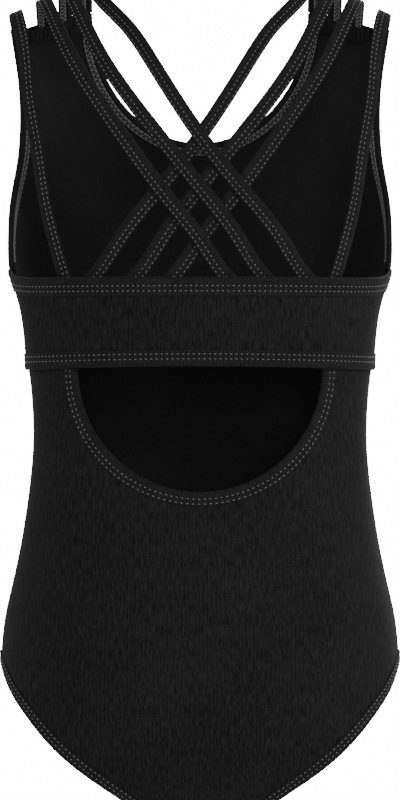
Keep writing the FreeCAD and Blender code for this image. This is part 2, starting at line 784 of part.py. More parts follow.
def build_straps():
    """Four folded straps a side, their elastics and their stitching. The left ones lie on top."""
    width = size("strap_width")
    slot = size("strap_slot") / 2
    elastic_half = size("strap_elastic_thickness") / 2
    elastic_start = size("fold_wall") + GAP
    elastic = flat_tape(elastic_start, elastic_start + size("strap_elastic_width"), -elastic_half, elastic_half)
    for side in ("left", "right"):
        elastics, threads = [], []
        for name in STRAPS:
            frames = strap_frames(name, on_top=side == "left" and name != "outer")
            place = mirrored if side == "right" else Part.Shape.copy
            add_piece(f"strap_{side}_{name}", place(strip(frames, folded_tape(width, -slot, slot))))
            elastics.append(place(strip(frames[1:-1], elastic)))
            rows = coverstitch(width - 1.2, -STRAP_HALF, STRAP_HALF)
            threads += [place(strip(frames[1:-1], row)) for row in rows]
        add_piece(f"strap_elastics_{side}", elastics)
        add_piece(f"strap_stitching_{side}", threads)


def seam_strip(places, lift_high):
    """An overlocked seam allowance pressed flat inside the garment."""
    half = size("overlock_width") / 2
    return strip(edge_frames(places, 1), flat_tape(-half, half, lift_high - TAPE, lift_high))


def build_seams():
    side = [(90, drop) for drop in turns(192, 412, 28)]
    add_pair("side_seam_overlock", seam_strip(side, LINING_LOW - GAP))
    crotch = [(turn_for(x, CROTCH_DROP), CROTCH_DROP - 3) for x in turns(-20, 20, 9)]
    add_piece("crotch_seam_overlock", seam_strip(crotch, GUSSET_LOW - GAP))


def tack(turn, drop, low, high):
    """A short dense bar of stitches across a strap."""
    half_turn = math.degrees(size("tack_length") / 2 / half_width_at(drop))
    half_drop = size("tack_width") / 2
    places = [[(turn + i * half_turn, drop + j * half_drop) for i in (-1, 0, 1)] for j in (-1, 0, 1)]
    return slab(places, low, high)


def build_tacks():
    """Bars through the front panel over the caught straps, and under the band on every strap end."""
    depth = size("thread_thickness")
    front, back = [], []
    for name in CAUGHT_STRAPS:
        x = STRAPS[name][0][0][0]
        drop = top_edge_drop(x) + size("strap_catch_depth") / 2
        bar = tack(turn_for(x, drop, front=True), drop, CLOTH + GAP / 4, CLOTH + GAP / 4 + depth)
        front += [bar, mirrored(bar)]
    under_strap = BAND_UNDERSIDE - 2 * STRAP_HALF - STITCH_ROOM
    for name in STRAPS:
        middle_drop = (size("band_top_drop") + size("strap_end_drop")) / 2
        x = (STRAP_BAND_X[name] + STRAP_END_X[name]) / 2
        bar = tack(turn_for(x, middle_drop), middle_drop, under_strap - depth, under_strap)
        back += [bar, mirrored(bar)]
    add_piece("strap_front_tacks", front)
    add_piece("strap_band_tacks", back)


def build_care_label():
    """A blank woven label caught in the left side seam, hanging flat and free to swing."""
    body = DOCUMENT.addObject("PartDesign::Body", "CareLabel")
    body.Label = "care_label"
    plane = [item for item in body.Origin.OriginFeatures if item.Role == "XZ_Plane"][0]
    sketch = body.newObject("Sketcher::SketchObject", "LabelOutline")
    sketch.AttachmentSupport = [(plane, "")]
    sketch.MapMode = "FlatFace"
    width, height = size("label_width"), size("label_height")
    corners = [Vector(0, 0, 0), Vector(width, 0, 0), Vector(width, -height, 0), Vector(0, -height, 0)]
    for i in range(4):
        sketch.addGeometry(Part.LineSegment(corners[i], corners[(i + 1) % 4]), False)
    for i in range(4):
        sketch.addConstraint(Sketcher.Constraint("Coincident", i, 2, (i + 1) % 4, 1))
    for i, direction in enumerate(("Horizontal", "Vertical", "Horizontal", "Vertical")):
        sketch.addConstraint(Sketcher.Constraint(direction, i))
    sketch.addConstraint(Sketcher.Constraint("Coincident", 0, 1, -1, 1))
    across = sketch.addConstraint(Sketcher.Constraint("DistanceX", 0, 1, 0, 2, width))
    down = sketch.addConstraint(Sketcher.Constraint("DistanceY", 1, 2, 1, 1, height))
    sketch.setExpression(f"Constraints[{across}]", "Sizes.label_width")
    sketch.setExpression(f"Constraints[{down}]", "Sizes.label_height")
    pad = body.newObject("PartDesign::Pad", "LabelPad")
    pad.Profile = sketch
    pad.Midplane = True
    pad.setExpression("Length", "Sizes.label_thickness")
    body.Tip = pad
    body.Placement = FreeCAD.Placement(
        Vector(size("label_hinge_x"), 0, -size("label_top_drop")),
        FreeCAD.Rotation(Vector(0, 0, 1), 90 + size("label_rest_angle")))
    PIECES.append(body)


def check_and_export():
    """Stop at any failed object or shape, then write one STEP file per sub-part."""
    DOCUMENT.recompute()
    for item in DOCUMENT.Objects:
        if any(word in ("Invalid", "Error") for word in item.State):
            raise RuntimeError(f"{item.Name} is {item.State}")
    for piece in PIECES:
        shape = piece.Shape
        if shape.isNull() or not shape.isValid() or not shape.Solids:
            raise RuntimeError(f"{piece.Label} has no valid solid")
    os.makedirs("parts", exist_ok=True)
    for piece in PIECES:
        piece.Shape.exportStep(f"parts/{piece.Label}.step")
        print(f"{piece.Label}: {len(piece.Shape.Solids)} solids, {piece.Shape.Volume:.0f} mm3")
    print(len(PIECES), "sub-parts")


build_panels()
build_facing()
build_gusset()
build_band()
build_bound_edges()
build_straps()
build_seams()
build_tacks()
build_care_label()
check_and_export()
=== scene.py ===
import math

import bpy
import numpy as np
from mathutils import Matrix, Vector
from mathutils.geometry import delaunay_2d_cdt


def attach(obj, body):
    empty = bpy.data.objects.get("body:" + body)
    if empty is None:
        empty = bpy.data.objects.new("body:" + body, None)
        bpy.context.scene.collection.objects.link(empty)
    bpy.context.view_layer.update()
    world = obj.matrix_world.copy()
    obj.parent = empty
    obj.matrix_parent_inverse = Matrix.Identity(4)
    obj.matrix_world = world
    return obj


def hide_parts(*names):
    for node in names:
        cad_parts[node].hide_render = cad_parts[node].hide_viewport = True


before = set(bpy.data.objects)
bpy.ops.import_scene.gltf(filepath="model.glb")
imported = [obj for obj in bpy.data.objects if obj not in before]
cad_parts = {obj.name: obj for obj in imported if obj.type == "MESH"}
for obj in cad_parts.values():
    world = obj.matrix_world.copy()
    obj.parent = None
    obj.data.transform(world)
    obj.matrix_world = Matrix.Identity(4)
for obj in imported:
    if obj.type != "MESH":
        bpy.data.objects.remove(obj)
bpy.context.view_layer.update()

# A girl's gymnastics leotard in black cotton and elastane jersey.
#
# Lengths in this file are millimetres until a mesh is made. A place on the garment is (turn, drop):
# turn is the angle round the body in degrees, 0 at centre back, 90 at the wearer's left side and 180
# at centre front; drop is the distance below the shoulder line, going on under the hips as arc length
# round to the crotch. lift is a distance outwards from the body surface.

MM = 0.001

# ------------------------------------------------------------------ the body surface

# drop, half width, depth behind the shoulder line, depth in front of it
BODY_LEVELS = np.array((
    (0, 127.0, 50.0, 50.0),
    (60, 128.0, 62.0, 60.0),
    (100, 126.0, 70.0, 72.0),
    (155, 119.0, 77.0, 80.0),
    (180, 116.3, 78.0, 81.0),
    (200, 110.6, 76.5, 80.5),
    (240, 105.6, 70.0, 78.0),
    (280, 103.0, 66.5, 76.0),
    (323, 106.5, 72.0, 78.0),
    (348, 110.4, 78.0, 78.5),
    (373, 115.6, 83.5, 77.5),
    (397, 120.8, 87.0, 75.5),
    (418, 122.9, 88.0, 74.5),
))
HIP_DROP = BODY_LEVELS[-1, 0]
CROTCH_DEPTH = 531.0 - HIP_DROP
CROTCH_DROP = HIP_DROP + CROTCH_DEPTH * math.pi / 2
SHOULDER_BASE = 70.0
SHOULDER_SLOPE = 0.49
NECK_POINT_X = 71.0
SIDE_FULLNESS = 0.12


def natural_spline(places, values):
    """A smooth function through (place, value) pairs, level beyond the last one."""
    count = len(places)
    spans = np.diff(places)
    slopes = np.diff(values) / spans
    system = np.eye(count)
    right_side = np.zeros(count)
    for i in range(1, count - 1):
        system[i, i - 1:i + 2] = spans[i - 1], 2 * (spans[i - 1] + spans[i]), spans[i]
        right_side[i] = 6 * (slopes[i] - slopes[i - 1])
    bends = np.linalg.solve(system, right_side)

    def value_at(place):
        place = np.minimum(np.asarray(place, float), places[-1])
        i = np.clip(np.searchsorted(places, place, side="right") - 1, 0, count - 2)
        span, here, there = spans[i], place - places[i], places[i + 1] - place
        curved = (bends[i] * there ** 3 + bends[i + 1] * here ** 3) / (6 * span)
        start = (values[i] / span - bends[i] * span / 6) * there
        end = (values[i + 1] / span - bends[i + 1] * span / 6) * here
        return curved + start + end

    return value_at


half_width_at, back_depth_at, front_depth_at = (
    natural_spline(BODY_LEVELS[:, 0], BODY_LEVELS[:, column]) for column in (1, 2, 3))


def apex_drop(x):
    return SHOULDER_SLOPE * (np.abs(x) - NECK_POINT_X)


def skin(turn, drop):
    """Points of the body surface, one row for each turn and drop."""
    turn, drop = np.broadcast_arrays(np.asarray(turn, float), np.asarray(drop, float))
    past = drop > CROTCH_DROP
    turn = np.where(past, np.copysign(180, turn) - turn, turn)
    drop = np.where(past, 2 * CROTCH_DROP - drop, drop)
    angle = np.radians(turn)
    across, along = np.sin(angle), np.cos(angle)
    depth = np.where(along >= 0, back_depth_at(drop), front_depth_at(drop))
    bend = np.clip((drop - HIP_DROP) / CROTCH_DEPTH, 0, None)
    z = np.where(drop > HIP_DROP, -HIP_DROP - CROTCH_DEPTH * np.sin(bend), -drop)
    x = half_width_at(drop) * across
    rise = np.clip(SHOULDER_BASE - drop, 0, None) / (SHOULDER_BASE - apex_drop(x))
    closing = np.sqrt(np.clip(1 - rise ** 2, 0, None))
    y = depth * np.cos(bend) * along * (1 + SIDE_FULLNESS * across ** 2) * closing
    return np.stack((x, y, z), axis=-1)


def unit(vectors):
    return vectors / np.linalg.norm(vectors, axis=-1, keepdims=True)


def skin_slopes(turn, drop):
    """How the surface moves per degree of turn and per millimetre of drop."""
    step = 0.02
    by_turn = (skin(turn + step, drop) - skin(turn - step, drop)) / (2 * step)
    by_drop = (skin(turn, drop + step) - skin(turn, drop - step)) / (2 * step)
    return by_turn, by_drop


def lifted(turn, drop, lift):
    """Surface points moved outwards by lift."""
    turn, drop = np.asarray(turn, float), np.asarray(drop, float)
    by_turn, by_drop = skin_slopes(turn, drop)
    return skin(turn, drop) + unit(np.cross(by_turn, by_drop)) * np.asarray(lift, float)[..., None]


def turn_for(x, drop, front=False):
    turn = np.degrees(np.arcsin(np.clip(x / half_width_at(drop), -1, 1)))
    return np.copysign(180, x) - turn if front else turn


def drop_for(z):
    below = np.clip((-np.asarray(z, float) - HIP_DROP) / CROTCH_DEPTH, 0, 1)
    return np.where(-np.asarray(z) <= HIP_DROP, -np.asarray(z, float),
                    HIP_DROP + CROTCH_DEPTH * np.arcsin(below))


def smooth_step(value, start, end):
    share = np.clip((np.asarray(value, float) - start) / (end - start), 0, 1)
    return share * share * (3 - 2 * share)


def level(turn):
    """No change of lift, for a piece that keeps to one lift."""
    return 0.0


def band_sink(turn):
    """How much nearer to the body the band lies at its ends, where the side seams hold it."""
    return 0.9 * smooth_step(np.abs(turn), 68, 90)


# ------------------------------------------------------------------ smooth curves

STITCH_PITCH = 3.2
STEPS_PER_STITCH = 6
STEP = STITCH_PITCH / STEPS_PER_STITCH


def length_along(points):
    return np.concatenate(([0], np.cumsum(np.linalg.norm(np.diff(points, axis=0), axis=1))))


def curve_through(points, count):
    """Many points on a smooth curve through a few."""
    points = np.asarray(points, float)
    run = length_along(points)
    fine = np.linspace(0, run[-1], count)
    return np.stack([natural_spline(run, points[:, k])(fine) for k in range(points.shape[1])], axis=-1)


def evened(track, points=None):
    """A track resampled so that its points in space are a fixed part of a stitch apart."""
    run = length_along(skin(track[:, 0], track[:, 1]) if points is None else points)
    stitches = max(1, round(run[-1] / STITCH_PITCH))
    even = np.linspace(0, run[-1], stitches * STEPS_PER_STITCH + 1)
    return np.stack([np.interp(even, run, track[:, k]) for k in range(track.shape[1])], axis=-1)


# ------------------------------------------------------------------ edges of the garment

def top_edge_drop(x):
    """The front panel's top edge, sloping down towards the arm."""
    return 12.1 + 24.6 * (x / half_width_at(0)) ** 2


NECKLINE_HALF_WIDTH = 67.3
NECKLINE_DEPTH = 79.8
NECKLINE_CENTRE = 20.0
KEYHOLE_RADIUS = 75.4
KEYHOLE_CENTRE = 241.8
BACK_PANEL_TOP = 231.0
BAND_TOP = 185.4
BAND_END_RISE = 6.2
BAND_BOTTOM = 240.0
BAND_SAG = 2.4
UNDERARM_DROP = 180.0
SIDE_TURN = 89.7
CROTCH_HALF_WIDTH = 31.0
LEG_TOP_DROP = 424.0

ARMHOLE_CORNERS = (
    (112.8, 32), (117.4, 60), (117.8, 90), (114, 112), (106, 132), (97, 152), (92, 170), (90, 180),
)
LEG_BACK_CORNERS = (
    (32.5, -525), (40, -514), (59.8, -499.7), (88.4, -477.4), (110.7, -450.7), (118.1, -438.3),
)
LEG_FRONT_CORNERS = ((117, -437), (107, -449), (85, -468), (58, -492), (40, -511), (32.5, -524))


def neckline_path():
    angle = np.linspace(0, math.pi, 200)
    x = -NECKLINE_HALF_WIDTH * np.cos(angle)
    drop = NECKLINE_CENTRE + NECKLINE_DEPTH * np.sin(angle)
    turn = 180 - turn_for(x, drop)
    return evened(np.stack((turn, drop), axis=-1))


def keyhole_path():
    angle = np.linspace(0, math.pi, 200)
    sides = np.linspace(BACK_PANEL_TOP, KEYHOLE_CENTRE, 8)[:-1]
    x = np.concatenate((
        np.full(7, -KEYHOLE_RADIUS), -KEYHOLE_RADIUS * np.cos(angle), np.full(7, KEYHOLE_RADIUS)))
    drop = np.concatenate((sides, KEYHOLE_CENTRE + KEYHOLE_RADIUS * np.sin(angle), sides[::-1]))
    return evened(np.stack((turn_for(x, drop), drop), axis=-1))


def armhole_path():
    return evened(curve_through(ARMHOLE_CORNERS, 400))


def leg_path():
    """Round the left leg opening from the crotch, up the back and down the front to the crotch."""
    crotch_turn = float(turn_for(CROTCH_HALF_WIDTH, CROTCH_DROP))
    back = [(float(turn_for(x, drop_for(z))), float(drop_for(z))) for x, z in LEG_BACK_CORNERS]
    front = [(180 - float(turn_for(x, drop_for(z))), float(drop_for(z))) for x, z in LEG_FRONT_CORNERS]
    before = (back[0][0], 2 * CROTCH_DROP - back[0][1])
    after = (front[-1][0], 2 * CROTCH_DROP - front[-1][1])
    ends = (crotch_turn, CROTCH_DROP), (180 - crotch_turn, CROTCH_DROP)
    track = curve_through([before, ends[0], *back, (90, LEG_TOP_DROP), *front, ends[1], after], 1600)
    track = track[track[:, 1] < CROTCH_DROP]
    return evened(np.vstack((ends[0], track, ends[1])))[:-1]


def band_top_drop(turn):
    return BAND_TOP - BAND_END_RISE * (np.abs(turn) / 90) ** 8


def band_bottom_drop(turn):
    return BAND_BOTTOM + BAND_SAG * np.sin(np.radians(turn)) ** 2


def band_path(drop_at):
    turn = np.linspace(-SIDE_TURN, SIDE_TURN, 400)
    return evened(np.stack((turn, drop_at(turn)), axis=-1))


# ------------------------------------------------------------------ layers, as lifts from the body surface

CLOTH = 0.4  # half the cloth's thickness
LINING = 0.5
TAPE = 0.55
GAP = 0.2
LINING_HIGH = -CLOTH - GAP - 0.1
LINING_LOW = LINING_HIGH - LINING
SLOT_HIGH = CLOTH + GAP - 0.05
SLOT_LOW = LINING_LOW - GAP
GUSSET_HIGH = LINING_LOW - GAP
GUSSET_LOW = GUSSET_HIGH - LINING
LEG_SLOT_LOW = GUSSET_LOW - GAP
BAND = 2.85
BAND_LINING_HIGH = BAND - CLOTH - GAP / 2
BAND_LINING_LOW = BAND_LINING_HIGH - LINING
BAND_SLOT_LOW = BAND_LINING_LOW - GAP / 2
BAND_SLOT_HIGH = BAND + CLOTH + GAP
HEM_SLOT_LOW = BAND - CLOTH - GAP / 2
CLOTH_INSET = 3.7
LINING_ARMHOLE_INSET = 6.0
BINDING_WIDTH = 8.4
KEYHOLE_BINDING_WIDTH = 9.3
BAND_TOP_WIDTH = 11.5
BAND_HEM_WIDTH = 10.5
STITCH_MARGIN = 1.2
KEYHOLE_STITCH_MARGIN = 1.3
BAND_TOP_ROW = 8.4
BAND_HEM_ROW = 8.1
FOLD_WALL = 0.7
ELASTIC_WIDTH = 2.4
ELASTIC_THICKNESS = 0.9
STRAP_WIDTH = 9.0
STRAP_SLOT = 0.3
STRAP_HALF = STRAP_SLOT + TAPE
STRAP_CATCH = 9.0
STRAP_ELASTIC_WIDTH = 6.0
STRAP_ELASTIC_THICKNESS = 0.4
STITCH_ROOM = 0.7
CAUGHT_ROOM = 0.55
BAND_UNDERSIDE = BAND_SLOT_LOW - TAPE - STITCH_ROOM
NEEDLE_GAUGE = 3.1
THREAD_RADIUS = 0.24


# ------------------------------------------------------------------ edges that tapes are sewn round

class Edge:
    """An edge of the garment on the body surface. across runs from the edge into the cloth."""

    def __init__(self, path, inwards, closed=False, sink=level):
        points = skin(path[:, 0], path[:, 1])
        if closed:
            run = np.roll(points, -1, axis=0) - np.roll(points, 1, axis=0)
        else:
            run = np.gradient(points, axis=0)
        by_turn, by_drop = skin_slopes(path[:, 0], path[:, 1])
        across = unit(np.cross(unit(np.cross(by_turn, by_drop)), run)) * inwards
        uu, us, ss = (by_turn ** 2).sum(-1), (by_turn * by_drop).sum(-1), (by_drop ** 2).sum(-1)
        au, ads = (across * by_turn).sum(-1), (across * by_drop).sum(-1)
        area = uu * ss - us ** 2
        self.path = path
        self.rates = np.stack(((au * ss - ads * us) / area, (ads * uu - au * us) / area), axis=-1)
        self.closed = closed
        self.count = len(path)
        self.sink = sink

    def place(self, index, across):
        """The (turn, drop) across millimetres in from the edge."""
        index = np.asarray(index) % self.count if self.closed else np.clip(index, 0, self.count - 1)
        return self.path[index] + self.rates[index] * np.asarray(across, float)[..., None]

    def at(self, index, across, lift):
        place = self.place(index, np.broadcast_arrays(across, index)[0])
        return lifted(place[..., 0], place[..., 1], lift - self.sink(place[..., 0]))


class Mirror:
    """A piece's frames mirrored across the middle of the garment."""

    def __init__(self, original):
        self.original = original
        self.closed, self.count = original.closed, original.count

    def at(self, index, across, lift):
        return self.original.at(index, across, lift) * np.array((-1, 1, 1))


def outwards(points):
    """The body's outward direction at points near its upper part."""
    def reach(place):
        drop = -place[..., 2]
        across = place[..., 0] / half_width_at(drop)
        depth = np.where(place[..., 1] >= 0, back_depth_at(drop), front_depth_at(drop))
        depth = depth * (1 + SIDE_FULLNESS * across ** 2)
        rise = np.clip(SHOULDER_BASE - drop, 0, None) / (SHOULDER_BASE - apex_drop(place[..., 0]))
        return (place[..., 1] / depth) ** 2 - (1 - across ** 2) * (1 - rise * rise)

    steps = 0.05 * np.eye(3)
    return unit(np.stack([reach(points + step) - reach(points - step) for step in steps], axis=-1))


# Each left strap: places (x, drop) up the front, x at the top of the shoulder, and places down the
# back to the band.
STRAPS = {
    "outer": (((113.4, 31),), 114.5, ((108.8, 44), (105.7, 75), (100.4, 106), (95.8, 137), (88.4, 168))),
    "second": (((98, 35.6), (98, 25)), 97.6, ((83.4, 41), (69.4, 66), (54.3, 89), (15.2, 143), (-0.3, 163))),
    "third": (((84.3, 31.8), (84.3, 21)), 83.4, ((72.9, 25.4), (55.5, 58), (36.9, 84), (-5, 137), (-22, 160))),
    "inner": (((71.5, 19.4), (71.5, 8)), 70.8,
              ((61.1, 13.5), (44.8, 31), (30.2, 52.6), (7.2, 88.9), (-25.8, 132.5), (-46.8, 158.7))),
}
STRAP_BAND_X = {"outer": 83.4, "second": -16.4, "third": -39.6, "inner": -65.2}
STRAP_END_X = {"outer": 81.6, "second": -21.6, "third": -44.8, "inner": -70.0}
STRAP_END_DROP = 190.5
STRAP_LAYER = 2.95
LAYER_RISES = 20, 60  # drops between which the upper straps rise over the lower ones
BAND_APPROACH = 163
CAUGHT_STRAPS = ("second", "third")


class Strap:
    """A left strap, from its front root over the shoulder to the band. across runs from its folded
    edge to its stitched edge."""

    def __init__(self, name, on_top):
        front, apex_x, back = STRAPS[name]
        caught = name in CAUGHT_STRAPS
        front_lift = -CLOTH - CAUGHT_ROOM - STRAP_HALF if caught else (SLOT_LOW + SLOT_HIGH) / 2
        back = back + ((STRAP_BAND_X[name], BAND_TOP), (STRAP_END_X[name], STRAP_END_DROP))
        points = []
        for x, drop in front:
            point = skin(turn_for(x, drop, front=True), drop)
            points.append(point + outwards(point) * front_lift)
        points.append(np.array((apex_x, 0, -apex_drop(apex_x))))
        for x, drop in back:
            lift = STRAP_LAYER * smooth_step(drop, *LAYER_RISES) if on_top else 0
            sink = smooth_step(drop, BAND_APPROACH, BAND_TOP)
            point = skin(turn_for(x, drop), drop)
            lift = lift * (1 - sink) + (BAND_UNDERSIDE - STRAP_HALF) * sink
            points.append(point + outwards(point) * lift)
        track = curve_through(points, 1200)
        self.centre = evened(track, track)
        self.up = outwards(self.centre)
        along = unit(np.gradient(self.centre, axis=0))
        self.side = unit(np.cross(self.up, along)) * (1 if name == "outer" else -1)
        self.up = unit(np.cross(self.side, along))
        self.up *= np.sign((self.up * outwards(self.centre)).sum(-1, keepdims=True))
        self.closed, self.count = False, len(self.centre)

    def at(self, index, across, lift):
        index, across, lift = np.broadcast_arrays(index, across, lift)
        index = np.clip(index, 0, self.count - 1)
        shift = self.side[index] * (across - STRAP_WIDTH / 2)[..., None]
        return self.centre[index] + shift + self.up[index] * lift[..., None]


# ------------------------------------------------------------------ patches of mesh

# A patch is (points, faces, cloth): points in millimetres, faces as rows of point numbers, and for
# each face corner its place on the cloth, also in millimetres, across and along the knit.

def grid_patch(points, across, along, wrap_run=False, wrap_ring=False):
    """A patch over points of shape (run, ring, 3). across and along are the cloth places of the rings
    and the runs, with one more value than there are rows where the grid wraps round."""
    runs, rings = points.shape[:2]
    i, j = np.meshgrid(np.arange(runs - (not wrap_run)), np.arange(rings - (not wrap_ring)), indexing="ij")
    i, j = i.ravel(), j.ravel()
    corners = ((i, j), (i + 1, j), (i + 1, j + 1), (i, j + 1))
    faces = np.stack([(a % runs) * rings + b % rings for a, b in corners], axis=-1)
    cloth = np.stack([np.stack((across[b], along[a]), axis=-1) for a, b in corners], axis=1)
    return points.reshape(-1, 3), faces, cloth


def joined(patches):
    """Several patches of four-cornered faces as one."""
    starts = np.cumsum([0] + [len(points) for points, _, _ in patches[:-1]])
    return (
        np.concatenate([points for points, _, _ in patches]),
        np.concatenate([faces + start for start, (_, faces, _) in zip(starts, patches)]),
        np.concatenate([cloth for _, _, cloth in patches]),
    )


def enclosed_volume(mesh):
    """The volume inside a mesh, negative if its faces point inwards."""
    mesh.calc_loop_triangles()
    corners = np.zeros(len(mesh.loop_triangles) * 3, np.int32)
    mesh.loop_triangles.foreach_get("vertices", corners)
    places = np.zeros(len(mesh.vertices) * 3)
    mesh.vertices.foreach_get("co", places)
    a, b, c = places.reshape(-1, 3)[corners.reshape(-1, 3)].transpose(1, 0, 2)
    return np.einsum("ij,ij->i", a, np.cross(b, c)).sum() / 6


def add_piece(name, patch, material, body="garment"):
    """A mesh piece in metres that stands for the CAD node of its own name."""
    points, faces, cloth = patch
    mesh = bpy.data.meshes.new(name)
    mesh.from_pydata((points * MM).tolist(), [], faces if isinstance(faces, list) else faces.tolist())
    layer = mesh.uv_layers.new(name="Cloth")
    layer.data.foreach_set("uv", np.ascontiguousarray(cloth, np.float32).ravel())
    if enclosed_volume(mesh) < 0:
        mesh.flip_normals()
    mesh.shade_smooth()
    mesh.materials.append(material)
    piece = bpy.data.objects.new(name, mesh)
    bpy.context.scene.collection.objects.link(piece)
    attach(piece, body)
    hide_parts(name)
    return piece


# ------------------------------------------------------------------ folded tapes and their elastics

def folded_ring(width, low, high, rows):
    """The outline of a tape folded round an edge, as (across, lift, softness): out along the inside
    leg, round the fold, back along the outside leg and through the slot. softness says how far the
    surface sinks where a needle goes through it."""
    middle, half = (low + high) / 2, (high - low) / 2 + TAPE
    nose = min(1.6, half * 1.1)
    legs = np.linspace(width - 0.25, nose + 0.4, 13)
    fold = np.linspace(-math.pi / 2, math.pi / 2, 11)
    ring = [(a, low - TAPE) for a in legs]
    ring += [(nose - nose * math.cos(t) ** 0.8, middle + half * math.sin(t)) for t in fold]
    ring += [(a, high + TAPE) for a in legs[::-1]]
    ring += [(width, high + TAPE * 0.7), (width, high + TAPE * 0.25), (width - 0.3, high), (FOLD_WALL, high)]
    ring += [(FOLD_WALL, low), (width - 0.3, low), (width, low - TAPE * 0.25), (width, low - TAPE * 0.7)]
    ring = np.array(ring)
    outer = np.zeros(len(ring))
    outer[:13], outer[24:37] = -1, 1
    sunk = sum(np.exp(-((ring[:, 0] - row) / 0.7) ** 2) for row in rows)
    crown = np.exp(-((ring[:, 0] - min(rows) / 2 - 0.4) / 1.3) ** 2) * 0.22
    between = np.exp(-((ring[:, 0] - sum(rows) / 2) / 0.8) ** 2) * 0.1
    ring[:, 1] += outer * (crown + between - 0.2 * sunk)
    return ring, outer * sunk


def tape_patch(edge, width, low, high, rows, step=2):
    """A tape folded round an edge, drawn in a little at every stitch."""
    ring, sunk = folded_ring(width, low, high, rows)
    last = edge.count if edge.closed else edge.count - 1
    index = np.arange(0, last + (not edge.closed), step)
    phase = 2 * math.pi * index / STEPS_PER_STITCH
    pull = 0.1 * (1 - np.cos(phase))[:, None]
    across = ring[None, :, 0] + 0.05 * np.sin(phase)[:, None] * (ring[:, 0] > width - 0.5)
    points = edge.at(index[:, None], across, ring[None, :, 1] - pull * sunk)
    along = (np.append(index, last) if edge.closed else index) * STEP
    round_the_ring = length_along(np.vstack((ring, ring[:1])))
    return grid_patch(points, round_the_ring, along, wrap_run=edge.closed, wrap_ring=True)


def ribbed_patch(edge, first, last, middle, thickness, trim=0):
    """A flat ribbed elastic inside a fold."""
    stop = edge.count if edge.closed else edge.count - trim
    index = np.arange(trim, stop, 2)
    half = thickness / 2
    ring = np.array((
        (first, -half * 0.6), (first + 0.3, -half), ((first + last) / 2, -half), (last - 0.3, -half),
        (last, -half * 0.6), (last, half * 0.6), (last - 0.3, half), ((first + last) / 2, half),
        (first + 0.3, half), (first, half * 0.6),
    ))
    swell = 1 - 0.2 * (index // 2 % 2)[:, None]
    points = edge.at(index[:, None], np.broadcast_to(ring[:, 0], (len(index), 10)), middle + ring[:, 1] * swell)
    along = np.append(index, stop) * STEP
    across = length_along(np.vstack((ring, ring[:1])))
    return grid_patch(points, across, along[:len(index) + edge.closed], wrap_run=edge.closed, wrap_ring=True)


# ------------------------------------------------------------------ sewing threads

def thread_rings(centres, ups, radii, sides=6):
    """Rings round the points of many short threads. centres and ups have shape (threads, points, 3)."""
    along = unit(np.gradient(centres, axis=1))
    side = unit(np.cross(along, ups))
    up = np.cross(side, along)
    angle = 2 * math.pi * np.arange(sides) / sides
    offset = side[:, :, None] * np.cos(angle)[:, None] + up[:, :, None] * np.sin(angle)[:, None]
    return centres[:, :, None] + offset * np.asarray(radii)[..., None, None]


def thread_patch(centres, ups, radii, sides=6):
    rings = thread_rings(centres, ups, radii, sides)
    count, rows = rings.shape[:2]
    across = np.arange(sides + 1) * 0.25
    one = grid_patch(rings[0], across, np.arange(rows) * 0.5, wrap_ring=True)
    faces = (one[1][None] + (np.arange(count) * rows * sides)[:, None, None]).reshape(-1, 4)
    return rings.reshape(-1, 3), faces, np.tile(one[2], (count, 1, 1))


NEEDLE_LIFTS = np.array((-0.28, 0.24, -0.28))
NEEDLE_RADII = THREAD_RADIUS * np.array((0.9, 1.35, 0.9))


def needle_row(edge, across, lift, trim=0):
    """One row of plain stitches, each a short thread that dips into the cloth at both ends."""
    first = np.arange(trim, edge.count - 5 - trim, STEPS_PER_STITCH)
    index = first[:, None] + np.arange(len(NEEDLE_LIFTS))
    row = np.full(index.shape, across)
    centres = edge.at(index, row, lift + NEEDLE_LIFTS)
    ups = edge.at(index, row, lift + 5) - edge.at(index, row, lift)
    return thread_patch(centres, unit(ups), NEEDLE_RADII)


def looper_rows(edge, rows, lift, trim=0):
    """The inside of a coverstitch: looper threads that cross from row to row and lie along each."""
    low_row, high_row = min(rows), max(rows)
    stop = edge.count - 1 - trim
    patches = []
    for shift, first, second in ((0, low_row, high_row), (3, high_row, low_row)):
        start = np.arange(trim + shift, stop - 6, STEPS_PER_STITCH)
        index = start[:, None] + np.array((0, 1, 2, 3, 4))
        across = first + (second - first) * np.array((-0.08, 0.2, 0.5, 0.8, 1.08))
        across = np.broadcast_to(across, index.shape)
        arch = np.array((0.1, -0.16, -0.24, -0.16, 0.1)) - 0.06 * (shift > 0)
        centres = edge.at(index, across, lift + arch)
        ups = edge.at(index, across, lift - 5) - centres
        patches.append(thread_patch(centres, unit(ups), THREAD_RADIUS * np.array((0.8, 0.95, 1, 0.95, 0.8)), 5))
    for row in rows:
        start = np.arange(trim, stop - 6, STEPS_PER_STITCH)
        index = start[:, None] + np.array((0, 1, 3, 5, 6))
        across = row + np.broadcast_to(0.3 * np.array((-1, 0.6, 1, 0.6, -1)), index.shape)
        centres = edge.at(index, across, lift + np.array((0.1, -0.1, -0.18, -0.1, 0.1)))
        ups = edge.at(index, across, lift - 5) - centres
        patches.append(thread_patch(centres, unit(ups), THREAD_RADIUS * np.array((0.7, 0.9, 1, 0.9, 0.7)), 5))
    return joined(patches)


def coverstitch_patch(edge, rows, low, high, trim=0):
    needles = [needle_row(edge, row, high + 0.04, trim) for row in rows]
    return joined([*needles, looper_rows(edge, rows, low - 0.04, trim)])


# ------------------------------------------------------------------ sheets of cloth

GRID = 3.4
DEGREE = 1.7


